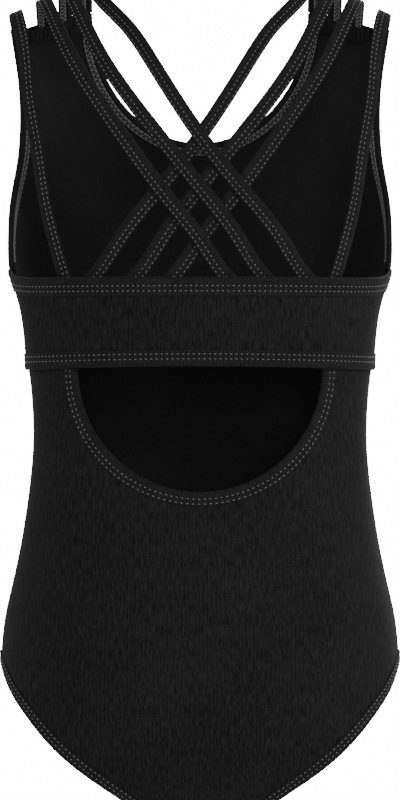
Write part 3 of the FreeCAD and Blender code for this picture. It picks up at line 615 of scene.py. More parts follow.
def arc_length(turn, drop):
    """The distance round the body from centre back to a turn, along the level of a drop."""
    turns = np.linspace(-180, 180, 241)
    drops = np.linspace(0, 2 * CROTCH_DROP, 180)
    points = skin(turns[:, None], drops[None, :])
    steps = np.linalg.norm(np.diff(points, axis=0), axis=2)
    table = np.concatenate((np.zeros((1, len(drops))), np.cumsum(steps, axis=0)))
    table -= table[len(turns) // 2]
    i = np.clip((turn + 180) / 360 * 240, 0, 239.999)
    j = np.clip(drop / drops[-1] * 179, 0, 178.999)
    i0, j0 = i.astype(int), j.astype(int)
    fi, fj = i - i0, j - j0
    low = table[i0, j0] * (1 - fi) + table[i0 + 1, j0] * fi
    high = table[i0, j0 + 1] * (1 - fi) + table[i0 + 1, j0 + 1] * fi
    return low * (1 - fj) + high * fj


def inside(outline, places):
    """Which places are inside a closed outline."""
    x, y = places[:, 0:1], places[:, 1:2]
    x0, y0 = outline[:, 0], outline[:, 1]
    x1, y1 = np.roll(x0, -1), np.roll(y0, -1)
    crossing = (y0 > y) != (y1 > y)
    with np.errstate(divide="ignore", invalid="ignore"):
        reach = x0 + (y - y0) / (y1 - y0) * (x1 - x0)
    return (crossing & (x < reach)).sum(axis=1) % 2 == 1


def distance_to(outline, places):
    """How far each place is from the nearest point of an outline."""
    out = np.empty(len(places))
    for start in range(0, len(places), 2000):
        block = places[start:start + 2000, None] - outline[None]
        out[start:start + 2000] = np.sqrt((block ** 2).sum(-1).min(axis=1))
    return out


def evenly_spaced(outline, spacing):
    """A closed outline with points at most spacing apart and no two much closer."""
    kept = [outline[0]]
    for point in outline[1:]:
        gap = np.linalg.norm(point - kept[-1])
        if gap < spacing * 0.6:
            continue
        count = math.ceil(gap / spacing)
        kept += [kept[-1] + (point - kept[-1]) * (k + 1) / count for k in range(count)]
    gap = np.linalg.norm(kept[0] - kept[-1])
    if gap < spacing * 0.6:
        return np.array(kept[:-1])
    count = math.ceil(gap / spacing)
    return np.array(kept + [kept[-1] + (kept[0] - kept[-1]) * k / count for k in range(1, count)])


def cloth_patch(outline, high, low, front=False, relief=None, spacing=GRID):
    """A sheet of cloth inside an outline of (turn from its own middle, drop) places: an outside, an
    inside and the cut edge between them. relief gives an extra lift for (turn, drop, margin)."""
    flat = evenly_spaced(outline * (DEGREE, 1), spacing)
    low_corner, high_corner = flat.min(axis=0), flat.max(axis=0)
    columns = np.arange(low_corner[0] + spacing / 2, high_corner[0], spacing)
    rows = np.arange(low_corner[1] + spacing / 2, high_corner[1], spacing * 0.87)
    grid = np.stack(np.meshgrid(columns, rows), axis=-1)
    grid[1::2, :, 0] += spacing / 2
    grid = grid.reshape(-1, 2)
    grid = grid[inside(flat, grid)]
    grid = grid[distance_to(flat, grid) > spacing * 0.6]
    every = np.vstack((flat, grid))
    made, _, faces, *_ = delaunay_2d_cdt([Vector(p) for p in every], [], [list(range(len(flat)))], 1, 1e-4)
    flat_points = np.array([tuple(p) for p in made])
    faces = np.array(faces)
    places = flat_points / (DEGREE, 1)
    margin = distance_to(flat, flat_points)
    turn = 180 - places[:, 0] if front else places[:, 0]
    extra = relief(places[:, 0], places[:, 1], margin) if relief else np.zeros(len(places))
    outside = lifted(turn, places[:, 1], high + extra)
    within = lifted(turn, places[:, 1], low + extra)
    cloth = np.stack((arc_length(places[:, 0], places[:, 1]), places[:, 1]), axis=-1)
    return shell(outside, within, faces[:, ::-1] if front else faces, cloth)


def shell(outside, within, faces, cloth):
    """Two layers of the same triangles, joined round their rim, as faces of mixed size."""
    count = len(outside)
    sides = np.concatenate([faces[:, [i, (i + 1) % 3]] for i in range(3)])
    known = set(map(tuple, sides.tolist()))
    rim = np.array([(a, b) for a, b in known if (b, a) not in known])
    walls = np.stack((rim[:, 1], rim[:, 0], rim[:, 0] + count, rim[:, 1] + count), axis=-1)
    rows = faces.tolist() + (faces[:, ::-1] + count).tolist() + walls.tolist()
    both = np.vstack((cloth, cloth))
    corner_cloth = np.concatenate([both[row] for row in rows])
    return np.vstack((outside, within)), rows, corner_cloth


def soft_relief(strength, seams=(), seed=0.0, sink=level):
    """Slow waves in the cloth that die out at its edges, and the dip of the seams at its sides."""
    def relief(turn, drop, margin):
        waves = (
            np.sin(drop / 23 + turn / 19 + seed) * 0.5
            + np.sin(drop / 41 - turn / 13 + 2 * seed) * 0.7
            + np.sin(drop / 12 + turn / 33 + 3 * seed) * 0.2
        )
        lift = strength * waves * smooth_step(margin, 6, 40)
        for seam_turn in seams:
            lift = lift - 0.75 * np.exp(-(np.abs(turn - seam_turn) * DEGREE / 1.6) ** 2)
        return lift - sink(turn)

    return relief


# ------------------------------------------------------------------ outlines of the cloth pieces

SEAM = 90.0


def seam_rise(turn, drop):
    """How far the front stands up beside the side seam, turn degrees away, to meet the thicker band."""
    return 0.9 * np.exp(-(turn * DEGREE / 6) ** 2) * (1 - smooth_step(drop, 238, 262))


NECKLINE = Edge(neckline_path(), -1)
KEYHOLE = Edge(keyhole_path(), 1)
ARMHOLE = Edge(armhole_path(), -1, sink=lambda turn: -seam_rise(np.abs(turn) - SEAM, 200))
LEG = Edge(leg_path(), -1, closed=True)
BAND_TOP_EDGE = Edge(band_path(band_top_drop), 1, sink=band_sink)
BAND_HEM_EDGE = Edge(band_path(band_bottom_drop), -1, sink=band_sink)


def own_turn(places, front):
    """Places with their turn counted from the middle of the front or the back panel."""
    turn = places[:, 0]
    return np.stack((180 - turn if front else turn, places[:, 1]), axis=-1)


def inset_edge(edge, inset, front):
    return own_turn(edge.place(np.arange(edge.count), np.full(edge.count, inset)), front)


def leg_side(inset, front):
    """The cloth's edge beside the left leg, from the side seam down to the crotch."""
    places = inset_edge(LEG, inset, front)
    keep = (places[:, 0] < SEAM) & (places[:, 1] < CROTCH_DROP)
    index = np.flatnonzero(keep)
    cut = np.flatnonzero(np.diff(index) > 1)
    if len(cut):
        index = np.concatenate((index[cut[0] + 1:], index[:cut[0] + 1]))
    run = places[index]
    run = run if run[0, 1] < run[-1, 1] else run[::-1]
    top = np.array((SEAM, run[0, 1] - (SEAM - run[0, 0]) * 0.3))
    bottom = np.array((run[-1, 0], CROTCH_DROP))
    return np.vstack((top, run, bottom))


def mirrored_run(run):
    return run[::-1] * (-1, 1)


def front_outline(top_shift, armhole_inset):
    """The front panel's outline, or that of a lining which starts lower down."""
    neck = inset_edge(NECKLINE, CLOTH_INSET, True)
    neck = neck[np.argsort(neck[:, 0])]
    arm = inset_edge(ARMHOLE, armhole_inset, True)
    arm = arm[arm[:, 0] < SEAM]
    neck_top = top_edge_drop(NECKLINE_HALF_WIDTH + CLOTH_INSET) + top_shift
    neck = neck[neck[:, 1] > neck_top + 1]
    corner_turn = float(turn_for(NECKLINE_HALF_WIDTH + CLOTH_INSET, neck_top))
    neck = np.vstack(((-corner_turn, neck_top), neck, (corner_turn, neck_top)))
    arm_x = np.abs(skin(180 - arm[:, 0], arm[:, 1])[:, 0])
    arm = arm[arm[:, 1] > top_edge_drop(arm_x) + top_shift + 1]
    start_turn = arm[0, 0]
    along = np.linspace(corner_turn, start_turn, 12)[1:]
    top = np.stack((along, top_edge_drop(half_width_at(30) * np.sin(np.radians(along))) + top_shift), axis=-1)
    seam_top = np.array(((SEAM, arm[-1, 1] + 2), (SEAM, 300.0)))
    left = np.vstack((top, arm, seam_top, leg_side(CLOTH_INSET, True)))
    return np.vstack((neck, left, mirrored_run(left)))


def back_outline():
    """The lower back panel: up under the band, with the keyhole cut into its top."""
    hole = inset_edge(KEYHOLE, CLOTH_INSET, False)
    hole = hole[hole[:, 1] > BACK_PANEL_TOP + 0.5]
    hole = hole[np.argsort(np.arctan2(hole[:, 0], hole[:, 1] - BACK_PANEL_TOP))]
    left_top = np.array((abs(hole[-1, 0]), BACK_PANEL_TOP))
    hole = np.vstack((left_top * (-1, 1), hole, left_top))
    left = np.vstack(((SEAM, BACK_PANEL_TOP), (SEAM, 330.0), leg_side(CLOTH_INSET, False)))
    return np.vstack((hole, left, mirrored_run(left)))


def band_outline(bottom_inset):
    turn = np.linspace(-SEAM, SEAM, 80)
    top = np.stack((turn, band_top_drop(turn) + CLOTH_INSET), axis=-1)
    bottom = np.stack((turn, band_bottom_drop(turn) - bottom_inset), axis=-1)
    return np.vstack((top, bottom[::-1]))


# ------------------------------------------------------------------ shared looks

def new_group(name, inputs, outputs):
    """An empty shader node group with its sockets, and its input and output nodes."""
    group = bpy.data.node_groups.new(name, "ShaderNodeTree")
    for kind, label, value in inputs:
        socket = group.interface.new_socket(label, in_out="INPUT", socket_type=kind)
        if value is not None:
            socket.default_value = value
    for label in outputs:
        group.interface.new_socket(label, in_out="OUTPUT", socket_type="NodeSocketFloat")
    return group, group.nodes.new("NodeGroupInput"), group.nodes.new("NodeGroupOutput")


def wire(tree, source, target):
    """Link a socket, or set a plain number, on a target socket."""
    if isinstance(source, (int, float)):
        target.default_value = source
    else:
        tree.links.new(source, target)


def maths(tree, operation, first, second=0.0, third=0.0):
    node = tree.nodes.new("ShaderNodeMath")
    node.operation = operation
    for socket, value in zip(node.inputs, (first, second, third)):
        wire(tree, value, socket)
    return node.outputs[0]


def knit_group():
    """Knitted loops: ribs along the cloth made of small slanting legs, proud where Height is most."""
    group, given, result = new_group("Knit loops", (
        ("NodeSocketVector", "Cloth", None),
        ("NodeSocketFloat", "Wale Width", 1.0),
        ("NodeSocketFloat", "Course Height", 0.8),
        ("NodeSocketFloat", "Slant", 0.45),
    ), ("Height",))
    apart = group.nodes.new("ShaderNodeSeparateXYZ")
    group.links.new(given.outputs["Cloth"], apart.inputs[0])
    wobble = group.nodes.new("ShaderNodeTexNoise")
    wobble.inputs["Scale"].default_value = 0.16
    wobble.inputs["Detail"].default_value = 3
    group.links.new(given.outputs["Cloth"], wobble.inputs["Vector"])
    drift = maths(group, "MULTIPLY_ADD", wobble.outputs["Fac"], 1.6, apart.outputs["X"])
    wale = maths(group, "DIVIDE", drift, given.outputs["Wale Width"])
    course = maths(group, "DIVIDE", apart.outputs["Y"], given.outputs["Course Height"])
    ridge = maths(group, "ABSOLUTE", maths(group, "SUBTRACT", maths(group, "FRACT", wale), 0.5))
    leg = maths(group, "MULTIPLY_ADD", maths(group, "MULTIPLY", ridge, given.outputs["Slant"]), 2, course)
    loop = maths(group, "SINE", maths(group, "MULTIPLY", leg, 2 * math.pi))
    rib = maths(group, "COSINE", maths(group, "MULTIPLY", ridge, math.pi))
    height = maths(group, "MULTIPLY_ADD", loop, 0.18, maths(group, "MULTIPLY", rib, 0.8))
    group.links.new(height, result.inputs["Height"])
    return group


def heather_group():
    """The uneven black of a cotton and elastane yarn: fine streaks along the knit and broad patches."""
    group, given, result = new_group("Yarn variation", (
        ("NodeSocketVector", "Cloth", None),
        ("NodeSocketFloat", "Streak Width", 0.9),
        ("NodeSocketFloat", "Streak Length", 5.0),
        ("NodeSocketFloat", "Patch Size", 40.0),
    ), ("Streaks", "Patches", "Fibres"))
    apart = group.nodes.new("ShaderNodeSeparateXYZ")
    group.links.new(given.outputs["Cloth"], apart.inputs[0])

    def noise(width, length, detail):
        joint = group.nodes.new("ShaderNodeCombineXYZ")
        group.links.new(maths(group, "DIVIDE", apart.outputs["X"], width), joint.inputs["X"])
        group.links.new(maths(group, "DIVIDE", apart.outputs["Y"], length), joint.inputs["Y"])
        texture = group.nodes.new("ShaderNodeTexNoise")
        texture.inputs["Scale"].default_value = 1.0
        texture.inputs["Detail"].default_value = detail
        group.links.new(joint.outputs[0], texture.inputs["Vector"])
        return texture.outputs["Fac"]

    width, length = given.outputs["Streak Width"], given.outputs["Streak Length"]
    group.links.new(noise(width, length, 2), result.inputs["Streaks"])
    group.links.new(noise(given.outputs["Patch Size"], given.outputs["Patch Size"], 3), result.inputs["Patches"])
    group.links.new(noise(maths(group, "MULTIPLY", width, 0.3), width, 1), result.inputs["Fibres"])
    return group


KNIT = knit_group()
HEATHER = heather_group()


class Finish:
    """A material with its cloth coordinates, ready for the shared groups."""

    def __init__(self, name):
        self.material = bpy.data.materials.new(name)
        self.material.use_nodes = True
        self.tree = self.material.node_tree
        self.shader = self.tree.nodes["Principled BSDF"]
        self.cloth = self.tree.nodes.new("ShaderNodeUVMap")
        self.cloth.uv_map = "Cloth"

    def group(self, group, **values):
        node = self.tree.nodes.new("ShaderNodeGroup")
        node.node_tree = group
        self.tree.links.new(self.cloth.outputs[0], node.inputs["Cloth"])
        for label, value in values.items():
            node.inputs[label.replace("_", " ")].default_value = value
        return node.outputs

    def colour(self, factor, dark, light, low=0.25, high=0.75):
        """Base Color from dark to light as factor goes from low to high."""
        ramp = self.tree.nodes.new("ShaderNodeValToRGB")
        ramp.color_ramp.elements[0].position, ramp.color_ramp.elements[1].position = low, high
        ramp.color_ramp.elements[0].color = (*dark, 1)
        ramp.color_ramp.elements[1].color = (*light, 1)
        wire(self.tree, factor, ramp.inputs["Fac"])
        self.tree.links.new(ramp.outputs["Color"], self.shader.inputs["Base Color"])

    def roughness(self, factor, smooth, rough):
        spread = self.tree.nodes.new("ShaderNodeMapRange")
        spread.inputs["To Min"].default_value, spread.inputs["To Max"].default_value = smooth, rough
        wire(self.tree, factor, spread.inputs["Value"])
        self.tree.links.new(spread.outputs["Result"], self.shader.inputs["Roughness"])

    def bump(self, height, depth_mm, strength):
        node = self.tree.nodes.new("ShaderNodeBump")
        node.inputs["Strength"].default_value = strength
        node.inputs["Distance"].default_value = depth_mm * MM
        wire(self.tree, height, node.inputs["Height"])
        self.tree.links.new(node.outputs["Normal"], self.shader.inputs["Normal"])

    def sheen(self, weight, roughness, tint):
        self.shader.inputs["Sheen Weight"].default_value = weight
        self.shader.inputs["Sheen Roughness"].default_value = roughness
        self.shader.inputs["Sheen Tint"].default_value = (*tint, 1)

    def blend(self, first, second, third=None, shares=(0.5, 0.3, 0.2)):
        total = maths(self.tree, "MULTIPLY", first, shares[0])
        total = maths(self.tree, "MULTIPLY_ADD", second, shares[1], total)
        return total if third is None else maths(self.tree, "MULTIPLY_ADD", third, shares[2], total)


def jersey():
    """The body cloth: black cotton jersey with fine ribs along the garment."""
    finish = Finish("Black jersey")
    knit = finish.group(KNIT, Wale_Width=1.3, Course_Height=0.9, Slant=0.5)
    yarn = finish.group(HEATHER, Streak_Width=1.3, Streak_Length=7.0, Patch_Size=55.0)
    # Base colour: random yarn streaks and patches, plus painted shade that darkens the grooves between the knit's
    # ribs where Height is low.
    finish.colour(finish.blend(yarn["Streaks"], yarn["Patches"], knit["Height"], (0.65, 0.15, 0.35)),
                  (0.0018, 0.0018, 0.0020), (0.0310, 0.0312, 0.0322), 0.42, 0.74)
    finish.roughness(yarn["Fibres"], 0.72, 0.95)
    finish.bump(finish.blend(knit["Height"], yarn["Fibres"], yarn["Streaks"], (0.7, 0.2, 0.2)), 0.16, 0.8)
    finish.sheen(0.12, 0.3, (0.78, 0.79, 0.8))
    finish.shader.inputs["Specular IOR Level"].default_value = 0.25
    return finish.material


def binding_jersey():
    """The same yarn cut across for the tapes, so that its ribs run across them."""
    finish = Finish("Black binding jersey")
    turned = finish.tree.nodes.new("ShaderNodeVectorRotate")
    turned.rotation_type = "Z_AXIS"
    turned.inputs["Angle"].default_value = math.radians(90)
    finish.tree.links.new(finish.cloth.outputs[0], turned.inputs["Vector"])
    finish.cloth = turned
    knit = finish.group(KNIT, Wale_Width=1.5, Course_Height=0.8, Slant=0.3)
    yarn = finish.group(HEATHER, Streak_Width=1.3, Streak_Length=3.5, Patch_Size=30.0)
    # Base colour: random yarn streaks and patches, plus painted shade that darkens the grooves between the knit's
    # ribs where Height is low.
    finish.colour(finish.blend(yarn["Streaks"], yarn["Patches"], knit["Height"], (0.5, 0.1, 0.45)),
                  (0.0014, 0.0014, 0.0015), (0.0330, 0.0333, 0.0342), 0.36, 0.74)
    finish.roughness(yarn["Fibres"], 0.66, 0.92)
    finish.bump(finish.blend(knit["Height"], yarn["Fibres"], yarn["Streaks"], (0.75, 0.2, 0.2)), 0.2, 0.9)
    finish.sheen(0.15, 0.3, (0.78, 0.79, 0.8))
    finish.shader.inputs["Specular IOR Level"].default_value = 0.3
    return finish.material


def lining():
    """The thin inner layer, flatter than the body cloth; its colour is set lighter than the body cloth's as
    painted light for the shaded inside of the garment.
    """
    finish = Finish("Black lining")
    knit = finish.group(KNIT, Wale_Width=0.9, Course_Height=0.7, Slant=0.5)
    yarn = finish.group(HEATHER, Streak_Width=0.9, Streak_Length=4.0, Patch_Size=45.0)
    # Painted light: the whole colour is raised to brighten the shaded inside. Painted shade also darkens the
    # grooves between the knit's ribs where Height is low.
    finish.colour(finish.blend(yarn["Streaks"], yarn["Patches"], knit["Height"], (0.4, 0.3, 0.3)),
                  (0.0120, 0.0121, 0.0125), (0.0300, 0.0302, 0.0308))
    finish.roughness(yarn["Fibres"], 0.78, 0.96)
    finish.bump(finish.blend(knit["Height"], yarn["Fibres"], shares=(0.7, 0.2)), 0.1, 0.6)
    finish.sheen(0.1, 0.5, (0.7, 0.72, 0.75))
    finish.shader.inputs["Specular IOR Level"].default_value = 0.2
    return finish.material


def spun_thread(name, dark, light, smooth, rough):
    """A twisted sewing thread, with a painted highlight on the proud ridges of its twist and painted shade between
    them.
    """
    finish = Finish(name)
    knit = finish.group(KNIT, Wale_Width=0.5, Course_Height=0.5, Slant=1.0)
    yarn = finish.group(HEATHER, Streak_Width=0.4, Streak_Length=1.5, Patch_Size=9.0)
    # Tone: random streaks and patches, plus painted highlight and shade from the twist's Height.
    tone = finish.blend(yarn["Streaks"], yarn["Patches"], knit["Height"], (0.4, 0.4, 0.2))
    finish.colour(tone, dark, light)
    finish.roughness(yarn["Fibres"], smooth, rough)
    finish.bump(knit["Height"], 0.05, 0.5)
    finish.sheen(0.15, 0.35, (0.85, 0.86, 0.88))
    return finish.material


def sewing_thread_painted_glint():
    # Grey rather than black: the light colours paint the glint that the stitches show on the black cloth.
    return spun_thread("Black sewing thread", (0.14, 0.14, 0.142), (0.54, 0.54, 0.55), 0.34, 0.55)


def overlock_thread():
    return spun_thread("Black overlock thread", (0.012, 0.012, 0.013), (0.045, 0.045, 0.047), 0.6, 0.85)


def elastic():
    """Woven elastic: black yarn over rubber, ribbed across."""
    finish = Finish("Black elastic")
    knit = finish.group(KNIT, Wale_Width=0.6, Course_Height=1.0, Slant=0.1)
    yarn = finish.group(HEATHER, Streak_Width=0.5, Streak_Length=1.0, Patch_Size=20.0)
    # Base colour: random patches, plus painted shade that darkens the grooves between the ribs where Height is
    # low.
    finish.colour(finish.blend(knit["Height"], yarn["Patches"], shares=(0.5, 0.4)),
                  (0.006, 0.006, 0.006), (0.022, 0.022, 0.023))
    finish.roughness(yarn["Fibres"], 0.5, 0.75)
    finish.bump(knit["Height"], 0.12, 0.7)
    return finish.material


def label_satin():
    """A blank woven satin label."""
    finish = Finish("White satin label")
    knit = finish.group(KNIT, Wale_Width=0.35, Course_Height=0.9, Slant=0.05)
    yarn = finish.group(HEATHER, Streak_Width=0.3, Streak_Length=9.0, Patch_Size=14.0)
    finish.colour(finish.blend(yarn["Streaks"], yarn["Patches"], shares=(0.5, 0.5)),
                  (0.62, 0.61, 0.59), (0.76, 0.75, 0.73))
    finish.roughness(yarn["Streaks"], 0.28, 0.5)
    finish.bump(knit["Height"], 0.03, 0.4)
    finish.sheen(0.1, 0.3, (0.9, 0.9, 0.92))
    return finish.material


# ------------------------------------------------------------------ the pieces

LOOKS = {
    "jersey": jersey(), "binding_jersey": binding_jersey(), "lining": lining(), "thread": sewing_thread_painted_glint(),
    "overlock_thread": overlock_thread(), "elastic": elastic(), "label_satin": label_satin(),
}


def add(name, patch, slot, body="garment"):
    return add_piece(name, patch, LOOKS[slot], body)


def mirrored(patch):
    points, faces, cloth = patch
    return points * (-1, 1, 1), faces, cloth


def add_pair(name, patch, slot):
    return [add(f"{name}_left", patch, slot), add(f"{name}_right", mirrored(patch), slot)]


def make_bound_edge(name, tape_name, edge, width, low, high, outer_row, paired=False):
    """A folded tape with the elastic in its fold and its two rows of coverstitch."""
    rows = (outer_row, outer_row - NEEDLE_GAUGE)
    make = add_pair if paired else add
    trim = 0 if edge.closed else 6
    make(tape_name, tape_patch(edge, width, low, high, rows), "binding_jersey")
    first = FOLD_WALL + GAP
    make(f"{name}_elastic",
         ribbed_patch(edge, first, first + ELASTIC_WIDTH, (low + high) / 2, ELASTIC_THICKNESS, trim), "elastic")
    make(f"{name}_stitching", coverstitch_patch(edge, rows, low - TAPE, high + TAPE, trim), "thread")


def make_bound_edges():
    width, row = BINDING_WIDTH, BINDING_WIDTH - STITCH_MARGIN
    make_bound_edge("neckline", "neckline_binding", NECKLINE, width, SLOT_LOW, SLOT_HIGH, row)
    make_bound_edge("armhole", "armhole_binding", ARMHOLE, width, SLOT_LOW, SLOT_HIGH, row, paired=True)
    wide = KEYHOLE_BINDING_WIDTH
    make_bound_edge("keyhole", "keyhole_binding", KEYHOLE, wide,
                    SLOT_LOW, SLOT_HIGH, wide - KEYHOLE_STITCH_MARGIN)
    make_bound_edge("leg", "leg_binding", LEG, width, LEG_SLOT_LOW, SLOT_HIGH, row, paired=True)
    make_bound_edge("band_top", "band_top_binding", BAND_TOP_EDGE, BAND_TOP_WIDTH,
                    BAND_SLOT_LOW, BAND_SLOT_HIGH, BAND_TOP_ROW)
    make_bound_edge("band_hem", "band_hem", BAND_HEM_EDGE, BAND_HEM_WIDTH,
                    HEM_SLOT_LOW, BAND_SLOT_HIGH, BAND_HEM_ROW)


def front_relief(turn, drop, margin):
    """The front's waves, and its rise to meet the thicker band in the side seams."""
    rise = seam_rise(SEAM - np.abs(turn), drop)
    return soft_relief(0.45, (-SEAM, SEAM), 1.0)(turn, drop, margin) + rise


def make_panels():
    """The body cloth and its linings, each a sheet stretched over the body."""
    front = add("front_panel", cloth_patch(
        front_outline(0, CLOTH_INSET), CLOTH, -CLOTH, front=True, relief=front_relief), "jersey")
    inner = add("front_lining", cloth_patch(
        front_outline(STRAP_CATCH + 1, LINING_ARMHOLE_INSET), LINING_HIGH, LINING_LOW, front=True,
        relief=soft_relief(0.45, (), 1.0)), "lining")
    back = add("back_panel", cloth_patch(
        back_outline(), CLOTH, -CLOTH, relief=soft_relief(0.5, (-SEAM, SEAM), 0.3)), "jersey")


def make_band():
    relief = soft_relief(0.4, (-SEAM, SEAM), 2.0, band_sink)
    band = add("back_band", cloth_patch(
        band_outline(CLOTH_INSET), BAND + CLOTH, BAND - CLOTH, relief=relief), "jersey")
    inner = add("back_band_lining", cloth_patch(
        band_outline(BAND_HEM_WIDTH + 1), BAND_LINING_HIGH, BAND_LINING_LOW, relief=relief), "lining")


FACING_ENDS = 76.8, 106.8


def make_facings():
    """The turned strips over the roots of the straps, inside the front's top edge."""
    high = -CLOTH - 2 * (CAUGHT_ROOM + STRAP_HALF)
    x = np.linspace(*FACING_ENDS, 15)
    top = top_edge_drop(x)
    upper = np.stack((turn_for(x, top), top), axis=-1)
    lower = np.stack((turn_for(x, top + STRAP_CATCH), top + STRAP_CATCH), axis=-1)
    patch = cloth_patch(np.vstack((upper, lower[::-1])), high, high - LINING, front=True, spacing=1.8)
    for piece in add_pair("front_top_facing", patch, "jersey"):
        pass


GUSSET_HALF_WIDTH = 26
GUSSET_BACK, GUSSET_FRONT = 36, 62


def make_gusset():
    """The crotch lining, from the front round to the back."""
    along = np.linspace(-GUSSET_BACK, GUSSET_FRONT, 30)
    half_turn = np.array([float(turn_for(GUSSET_HALF_WIDTH, CROTCH_DROP + a)) for a in along])
    right = np.stack((half_turn, CROTCH_DROP + along), axis=-1)
    patch = cloth_patch(np.vstack((right * (-1, 1), right[::-1])), GUSSET_HIGH, GUSSET_LOW, spacing=2.6)
    piece = add("gusset_lining", patch, "lining")


def make_straps():
    """Four folded straps from each shoulder. The left ones cross over the right ones."""
    rows = (STRAP_WIDTH - STITCH_MARGIN, STRAP_WIDTH - STITCH_MARGIN - NEEDLE_GAUGE)
    start = FOLD_WALL + GAP
    for side in ("left", "right"):
        elastics, threads = [], []
        for name in STRAPS:
            strap = Strap(name, on_top=side == "left" and name != "outer")
            strap = Mirror(strap) if side == "right" else strap
            tape = tape_patch(strap, STRAP_WIDTH, -STRAP_SLOT, STRAP_SLOT, rows)
            add(f"strap_{side}_{name}", tape, "binding_jersey")
            elastics.append(ribbed_patch(
                strap, start, start + STRAP_ELASTIC_WIDTH, 0, STRAP_ELASTIC_THICKNESS, trim=6))
            threads.append(coverstitch_patch(strap, rows, -STRAP_HALF, STRAP_HALF, trim=3))
        add(f"strap_elastics_{side}", joined(elastics), "elastic")
        add(f"strap_stitching_{side}", joined(threads), "thread")


def seam_patch(edge, high):
    """An overlocked seam allowance: two cut edges held flat under loops of thread."""
    index = np.arange(0, edge.count, 2)
    ring = np.array((
        (-2.2, high - TAPE), (-0.3, high - TAPE), (0, high - TAPE + 0.15), (0.3, high - TAPE), (2.2, high - TAPE),
        (2.4, high - TAPE / 2), (2.2, high), (-2.2, high), (-2.4, high - TAPE / 2),
    ))
    points = edge.at(index[:, None], np.broadcast_to(ring[:, 0], (len(index), 9)), ring[:, 1])
    flat = grid_patch(points, length_along(np.vstack((ring, ring[:1]))), index * 0.5, wrap_ring=True)
    low = high - TAPE - 0.1
    start = np.arange(0, edge.count - 7, 3)
    crossing = start[:, None] + np.array((0, 1, 2, 3, 3, 3, 4))
    across = np.broadcast_to(np.array((-2.5, -1.2, 0.4, 1.8, 2.5, 1.6, -2.5)), crossing.shape)
    lift = low + np.array((0.35, -0.05, -0.08, -0.05, 0.3, -0.12, 0.3))
    centres = edge.at(crossing, across, lift)
    ups = edge.at(crossing, across, lift - 5) - centres
    loops = thread_patch(centres, unit(ups), np.full(7, THREAD_RADIUS * 0.8), 5)
    return joined([flat, loops])


SIDE_SEAM_DROPS = 192, 412
CROTCH_SEAM_HALF = 20


def make_seams():
    side = np.stack((np.full(400, SEAM), np.linspace(*SIDE_SEAM_DROPS, 400)), axis=-1)
    add_pair("side_seam_overlock", seam_patch(Edge(evened(side), 1), LINING_LOW - GAP), "overlock_thread")
    x = np.linspace(-CROTCH_SEAM_HALF, CROTCH_SEAM_HALF, 60)
    crotch = np.stack((turn_for(x, CROTCH_DROP), np.full(60, CROTCH_DROP - 3.0)), axis=-1)
    add("crotch_seam_overlock", seam_patch(Edge(evened(crotch), 1), GUSSET_LOW - GAP), "overlock_thread")


TACK_HALF_LENGTH, TACK_HALF_WIDTH = 3.5, 0.85
TACK_THREADS = 13
TACK_THREAD_RADIUS = 0.27


def tack_patch(turn, drop, lift, upwards):
    """A bar tack: threads packed side by side over two long ones, across a strap."""
    half_turn = math.degrees(TACK_HALF_LENGTH / float(half_width_at(drop)))
    spread = np.linspace(-1, 1, TACK_THREADS)[:, None]
    lean = np.array((-1.05, -0.6, 0, 0.6, 1.05))
    turns = turn + half_turn * (spread + 0.05 * lean)
    drops = drop + TACK_HALF_WIDTH * np.broadcast_to(lean, (TACK_THREADS, 5))
    bow = np.array((-0.25, 0.08, 0.14, 0.08, -0.25)) * upwards
    centres = lifted(turns, drops, lift + bow)
    ups = (lifted(turns, drops, lift + bow + 5) - centres) * upwards
    return thread_patch(centres, unit(ups), np.full(5, TACK_THREAD_RADIUS))


def make_tacks():
    front, back = [], []
    for name in CAUGHT_STRAPS:
        x = STRAPS[name][0][0][0]
        drop = float(top_edge_drop(x)) + STRAP_CATCH / 2
        bar = tack_patch(float(turn_for(x, drop, front=True)), drop, CLOTH + 0.15, 1)
        front += [bar, mirrored(bar)]
    under = BAND_UNDERSIDE - 2 * STRAP_HALF - STITCH_ROOM + 0.3
    for name in STRAPS:
        drop = (BAND_TOP + STRAP_END_DROP) / 2
        x = (STRAP_BAND_X[name] + STRAP_END_X[name]) / 2
        bar = tack_patch(float(turn_for(x, drop)), drop, under, -1)
        back += [bar, mirrored(bar)]
    add("strap_front_tacks", joined(front), "thread")
    add("strap_band_tacks", joined(back), "thread")


LABEL_HINGE = np.array((99.6, 0.0, -262.0))
LABEL_WIDTH, LABEL_HEIGHT = 25.0, 38.0
LABEL_REST = math.radians(107)


def make_label():
    """A blank label with folded ends, curling a little, sewn in along its hinge edge."""
    across = np.linspace(0, LABEL_WIDTH, 26)[:, None]
    down = np.linspace(0, LABEL_HEIGHT, 40)[None, :]
    direction = np.array((math.cos(LABEL_REST), math.sin(LABEL_REST), 0))
    normal = np.array((-direction[1], direction[0], 0))
    share = across / LABEL_WIDTH
    curl = 0.7 * np.sin(down / LABEL_HEIGHT * math.pi) * share ** 2 + 0.35 * share * np.sin(down / 7)
    hem = 0.12 * np.exp(-((np.minimum(down, LABEL_HEIGHT - down) - 4) / 0.5) ** 2)
    flat = LABEL_HINGE + direction * across[..., None] + np.array((0, 0, -1)) * down[..., None]
    outer = flat + normal * (curl + 0.14 + hem)[..., None]
    inner = flat + normal * (curl - 0.14 - hem)[..., None]
    faces = []
    rows, columns = outer.shape[:2]
    for i in range(rows - 1):
        for j in range(columns - 1):
            a = i * columns + j
            faces += [[a, a + columns, a + columns + 1], [a, a + columns + 1, a + 1]]
    cloth = np.stack(np.broadcast_arrays(across, down), axis=-1).reshape(-1, 2)
    patch = shell(outer.reshape(-1, 3), inner.reshape(-1, 3), np.array(faces), cloth)
    label = add("care_label", patch, "label_satin", body="label")


# ------------------------------------------------------------------ camera, floor and light

